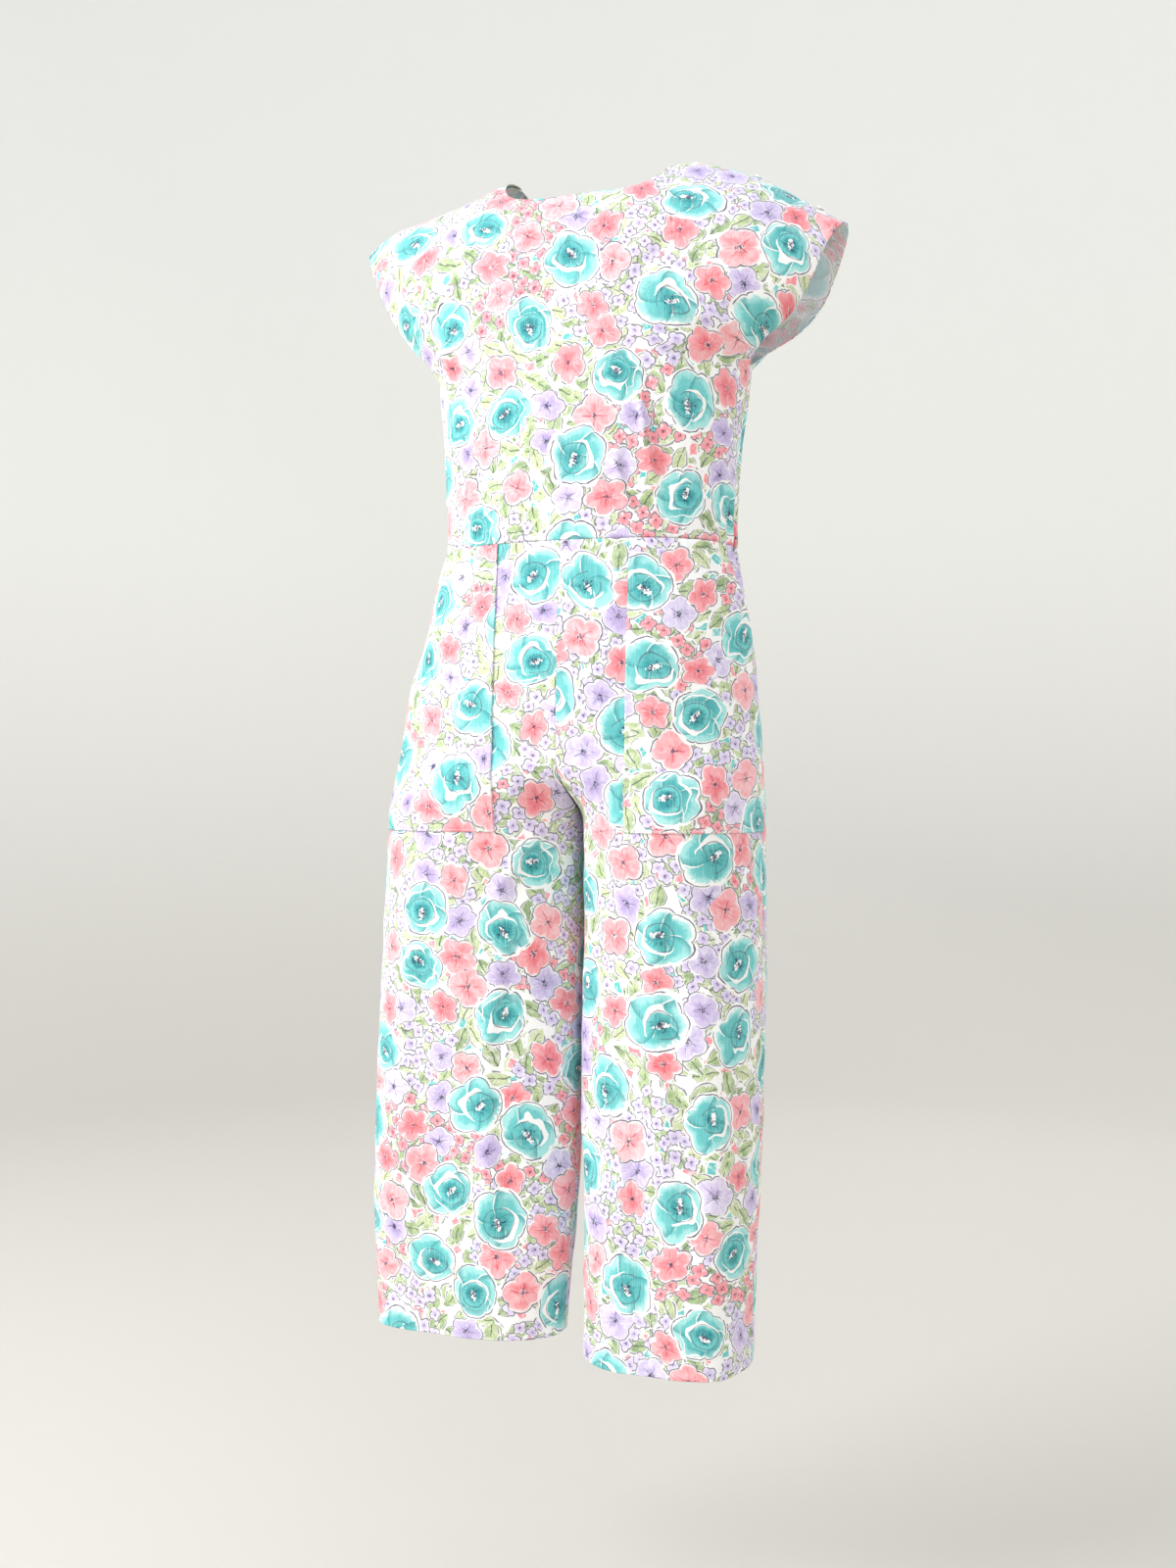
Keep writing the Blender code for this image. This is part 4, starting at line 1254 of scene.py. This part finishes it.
def sewn(panel, routes):
    """One piece of all the rows of stitches on a panel, each stitch a small rounded length of thread."""
    stitch = bmesh.new()
    bmesh.ops.create_uvsphere(stitch, u_segments=6, v_segments=4, radius=1.0)
    stitch.verts.index_update()
    shape = np.array([vertex.co[:] for vertex in stitch.verts])
    shape *= np.array([THREAD_LENGTH, THREAD_WIDTH, THREAD_HEIGHT]) / 2
    faces = [[vertex.index for vertex in face.verts] for face in stitch.faces]
    stitch.free()
    laid = []
    for line in routes:
        travel = np.insert(np.cumsum(np.linalg.norm(np.diff(line[:, :3], axis=0), axis=1)), 0, 0.0)
        middles = np.arange(THREAD_PITCH / 2, travel[-1], THREAD_PITCH)
        ends = (middles - THREAD_LENGTH / 2, middles, middles + THREAD_LENGTH / 2)
        first, here, last = (
            np.stack([np.interp(end, travel, line[:, k]) for k in range(6)], axis=1) for end in ends
        )
        up, ahead = here[:, 3:], last[:, :3] - first[:, :3]
        aside = np.cross(up, ahead)
        axes = np.stack([ahead, aside, np.cross(ahead, aside)], axis=1)
        axes /= np.maximum(np.linalg.norm(axes, axis=2, keepdims=True), 1e-12)
        middle = here[:, :3] + up * (THREAD_HEIGHT / 4)
        laid.append((shape @ axes + middle[:, None]).reshape(-1, 3))
    points = np.concatenate(laid)
    starts = np.arange(0, len(points), len(shape))[:, None, None]
    polygons = []
    for sides in (4, 3):
        repeated = starts + np.array([face for face in faces if len(face) == sides])
        polygons += repeated.reshape(-1, sides).tolist()
    mesh = bpy.data.meshes.new(f"{panel.name}_stitches")
    mesh.from_pydata(points.tolist(), [], polygons)
    mesh.materials.append(thread_cotton)
    mesh.shade_smooth()
    rows = placed(f"{panel.name}_stitches", mesh)
    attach(rows, "root")
    return rows


for panel, top_level in ((bodice_front, 0.0), (bodice_back, UNDERLAP_LEVEL)):
    face = panel.name.split("_")[1]
    share = np.abs(spaced(np.linspace(0, 1, panel.shape[1]), BODICE_COLUMN_RUNS))
    level = spaced(np.linspace(0, 1, panel.shape[0]), BODICE_ROW_RUNS[face])
    on_sleeve = (level < 0.99) & (level > top_level + 0.004)
    rows = [
        route(panel, panel.to_high, HEM_LINE, share < NECK_SHARE + 0.001),
        route(panel, panel.from_first, HEM_LINE, on_sleeve),
        route(panel, panel.to_last, HEM_LINE, on_sleeve),
    ]
    if face == "front":
        columns = np.linspace(-1, 1, panel.shape[1])
        for shoulder in (columns < 0, columns > 0):
            rows.append(route(panel, panel.to_high, HEM_LINE, (share > NECK_SHARE + 0.02) & shoulder))
    sewn(panel, rows)
for panel in legs.values():
    sewn(panel, [route(panel, panel.from_low, LEG_HEM_LINE)])
for side, panel in pockets.items():
    mouth, inner = panel.from_first, panel.to_last
    if from_side_seam(side, "front", 0.0) != 0.0:
        mouth, inner = inner, mouth
    down = spaced(np.linspace(0, 1, panel.shape[0]), POCKET_ROW_RUNS)
    rows = [
        route(panel, inner, POCKET_LINE),
        route(panel, panel.from_low, POCKET_LINE),
        route(panel, mouth, MOUTH_LINE, down < MOUTH_END),
    ]
    sewn(panel, rows)


# The shoulder buttons: small round cream buttons, three to a shoulder, each a dish in a raised rim, with a
# grey ring of painted shade on the rim's inner slope and two pairs of holes drawn as dark discs of painted
# shade, sewn through the front's lap with white thread.
BUTTON_LEVEL = 0.06
BUTTON_PLACES = (0.115, 0.185, 0.255)
BUTTON_RADIUS = 0.0050
BUTTON_STEPS = 40
RIM_SHADE_SHARES = (0.52, 0.72)
FACE_LEVEL = 0.001
HOLE_PLACE = 0.00085
HOLE_RADIUS = 0.00042
HOLE_LEVEL = 0.00112
HOLE_DEPTH = 0.0003
STRAND_SIZE = (0.00022, 0.00115, 0.00022)
STRAND_LEVEL = 0.00130
# Shares of the radius and heights above the cloth, from the middle of the dish over the rim to the foot.
BUTTON_PROFILE = (
    (0.00, 0.00120),
    (0.25, 0.00122),
    (0.50, 0.00130),
    (0.53, 0.00122),
    (0.62, 0.00140),
    (0.71, 0.00190),
    (0.74, 0.00212),
    (0.82, 0.00240),
    (0.90, 0.00232),
    (0.97, 0.00175),
    (1.00, 0.00110),
    (0.97, 0.00050),
    (0.86, 0.00000),
    (0.00, 0.00000),
)


def glossy(name, colour, roughness, dapple):
    """A moulded button plastic, faintly clouded, with a clear gloss."""
    material, shader, place = finish(name)
    cloud = place.noise(700.0, 2.0)
    clouded = cloud.ramp(0.35, 0.70).over(colour, dapple)
    feed(shader, {"Base Color": clouded, "Roughness": cloud * 0.12 + roughness})
    feed(shader, {"Coat Weight": 0.4, "Coat Roughness": 0.08})
    return material


cream = glossy("button_cream", paint(250, 247, 240), 0.18, paint(236, 231, 224))
# The grey ring is painted shade: the rim's shading laid on its inner slope as a colour.
rim_painted_shade = glossy("button_smoke_ring", paint(92, 92, 100), 0.20, paint(70, 70, 80))
# Dark discs of painted shade stand in for the buttons' holes, which are not cut.
hole_painted_shade = glossy("button_holes", paint(38, 36, 42), 0.50, paint(28, 26, 32))


def turned(profile, steps, weld):
    """A round body: a profile of (out, height) pairs spun all the way about the Z axis."""
    body = bmesh.new()
    points = [body.verts.new((out, 0.0, height)) for out, height in profile]
    for first, second in zip(points, points[1:]):
        body.edges.new((first, second))
    bmesh.ops.spin(
        body,
        geom=body.verts[:] + body.edges[:],
        cent=(0, 0, 0),
        axis=(0, 0, 1),
        angle=2 * np.pi,
        steps=steps,
        use_merge=True,
    )
    bmesh.ops.remove_doubles(body, verts=body.verts, dist=weld)
    bmesh.ops.recalc_face_normals(body, faces=body.faces)
    return body


def coloured(made, index):
    """Gives the faces of a shape that was just made their material."""
    for face in {face for vertex in made["verts"] for face in vertex.link_faces}:
        face.material_index = index


def button(side, number, out):
    name = f"shoulder_button_{side}_{number}"
    disc = turned([(share * BUTTON_RADIUS, height) for share, height in BUTTON_PROFILE], BUTTON_STEPS, 1e-6)
    # Faces on the rim's inner slope get the grey ring material, which is painted shade of the rim.
    for face in disc.faces:
        middle = face.calc_center_median()
        share = np.hypot(middle.x, middle.y) / BUTTON_RADIUS
        if middle.z > FACE_LEVEL and RIM_SHADE_SHARES[0] < share < RIM_SHADE_SHARES[1]:
            face.material_index = 1
    # Each hole is a short dark cylinder set into the dish: painted shade where a hole would be, with nothing
    # cut away.
    for x in (-HOLE_PLACE, HOLE_PLACE):
        for y in (-HOLE_PLACE, HOLE_PLACE):
            hole = bmesh.ops.create_cone(
                disc,
                cap_ends=True,
                segments=14,
                radius1=HOLE_RADIUS,
                radius2=HOLE_RADIUS,
                depth=HOLE_DEPTH,
                matrix=Matrix.Translation((x, y, HOLE_LEVEL)),
            )
            coloured(hole, 2)
        strand = Matrix.Translation((x, 0, STRAND_LEVEL)) @ Matrix.Diagonal((*STRAND_SIZE, 1.0))
        coloured(bmesh.ops.create_uvsphere(disc, u_segments=8, v_segments=6, radius=1.0, matrix=strand), 3)

    share = NECK_SHARE + (1 - NECK_SHARE) * (out - NECK_HALF) / (SLEEVE_TIP[side] - NECK_HALF)
    surface = bodice_surface("front", 1.0)
    places = np.full(2, SIDES[side] * share), np.full(2, BUTTON_LEVEL)
    heights = LAYER + np.array([SEAM_GAP, 1.0])
    foot, above = map(Vector, pushed(surface, *places, heights, FACES["front"], level=False))
    standing = (above - foot).to_track_quat("Z", "Y").to_matrix().to_4x4()
    bmesh.ops.transform(disc, matrix=Matrix.Translation(foot) @ standing, verts=disc.verts)
    mesh = bpy.data.meshes.new(f"{name}_disc")
    disc.to_mesh(mesh)
    disc.free()
    for material in (cream, rim_painted_shade, hole_painted_shade, thread_cotton):
        mesh.materials.append(material)
    mesh.shade_smooth()
    piece = placed(f"{name}_disc", mesh)
    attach(piece, "root")
    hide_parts(name)


for side in SIDES:
    for number, out in enumerate(BUTTON_PLACES, start=1):
        button(side, number, out)


# The studio: a pale round floor that curves up into a pale wall all about, open above, under soft light that
# comes mostly from the left of the camera, as beside a large window.
FLOOR_LEVEL = -1.62
FLOOR_RADIUS = 3.0
COVE_RADIUS = 1.6
WALL_TOP = 4.2
COVE_STEPS = 12
ROUND_STEPS = 64

turns = np.linspace(0, np.pi / 2, COVE_STEPS + 1)
outs = [0.0, *(FLOOR_RADIUS + COVE_RADIUS * np.sin(turns)), FLOOR_RADIUS + COVE_RADIUS]
heights = [0.0, *(COVE_RADIUS * (1 - np.cos(turns))), WALL_TOP]
cove = turned([(out, FLOOR_LEVEL + height) for out, height in zip(outs, heights)], ROUND_STEPS, 1e-4)
stage_mesh = bpy.data.meshes.new("floor_and_wall")
cove.to_mesh(stage_mesh)
cove.free()
stage_mesh.shade_smooth()
plaster, plaster_shader, stage_place = finish("pale_plaster")
height = stage_place.parts()[2]
# Painted shade: the plaster's colour darkens towards the floor and pales up the wall.
plaster_with_painted_shade = height.ramp(-1.9, 0.4).over(paint(204, 199, 191), paint(240, 238, 233))
feed(plaster_shader, {"Base Color": plaster_with_painted_shade, "Roughness": 0.9, "Specular IOR Level": 0.0})
stage_mesh.materials.append(plaster)
placed("floor_and_wall", stage_mesh)


def lamp(name, place, aim, size, energy, colour):
    """A square soft box."""
    light = bpy.data.lights.new(name, "AREA")
    light.energy = energy
    light.size = size
    light.color = colour
    box = placed(name, light)
    box.location = place
    box.rotation_euler = (Vector(aim) - Vector(place)).to_track_quat("-Z", "Y").to_euler()
    box.visible_camera = False


lamp("window", (-2.4, -1.9, 0.7), (0, 0, -0.6), 1.9, 106, (0.94, 0.98, 1.0))
lamp("front_fill", (1.4, -3.0, 0.8), (0, 0, -0.7), 2.4, 19, (0.98, 0.99, 1.0))
lamp("back_fill", (0.8, 2.8, 1.0), (0, 0, -0.6), 2.4, 30, (0.97, 0.99, 1.0))
world = bpy.data.worlds.new("studio")
world.use_nodes = True
feed(world.node_tree.nodes["Background"], {"Color": (0.89, 0.94, 1.0, 1.0), "Strength": 0.98})
bpy.context.scene.world = world
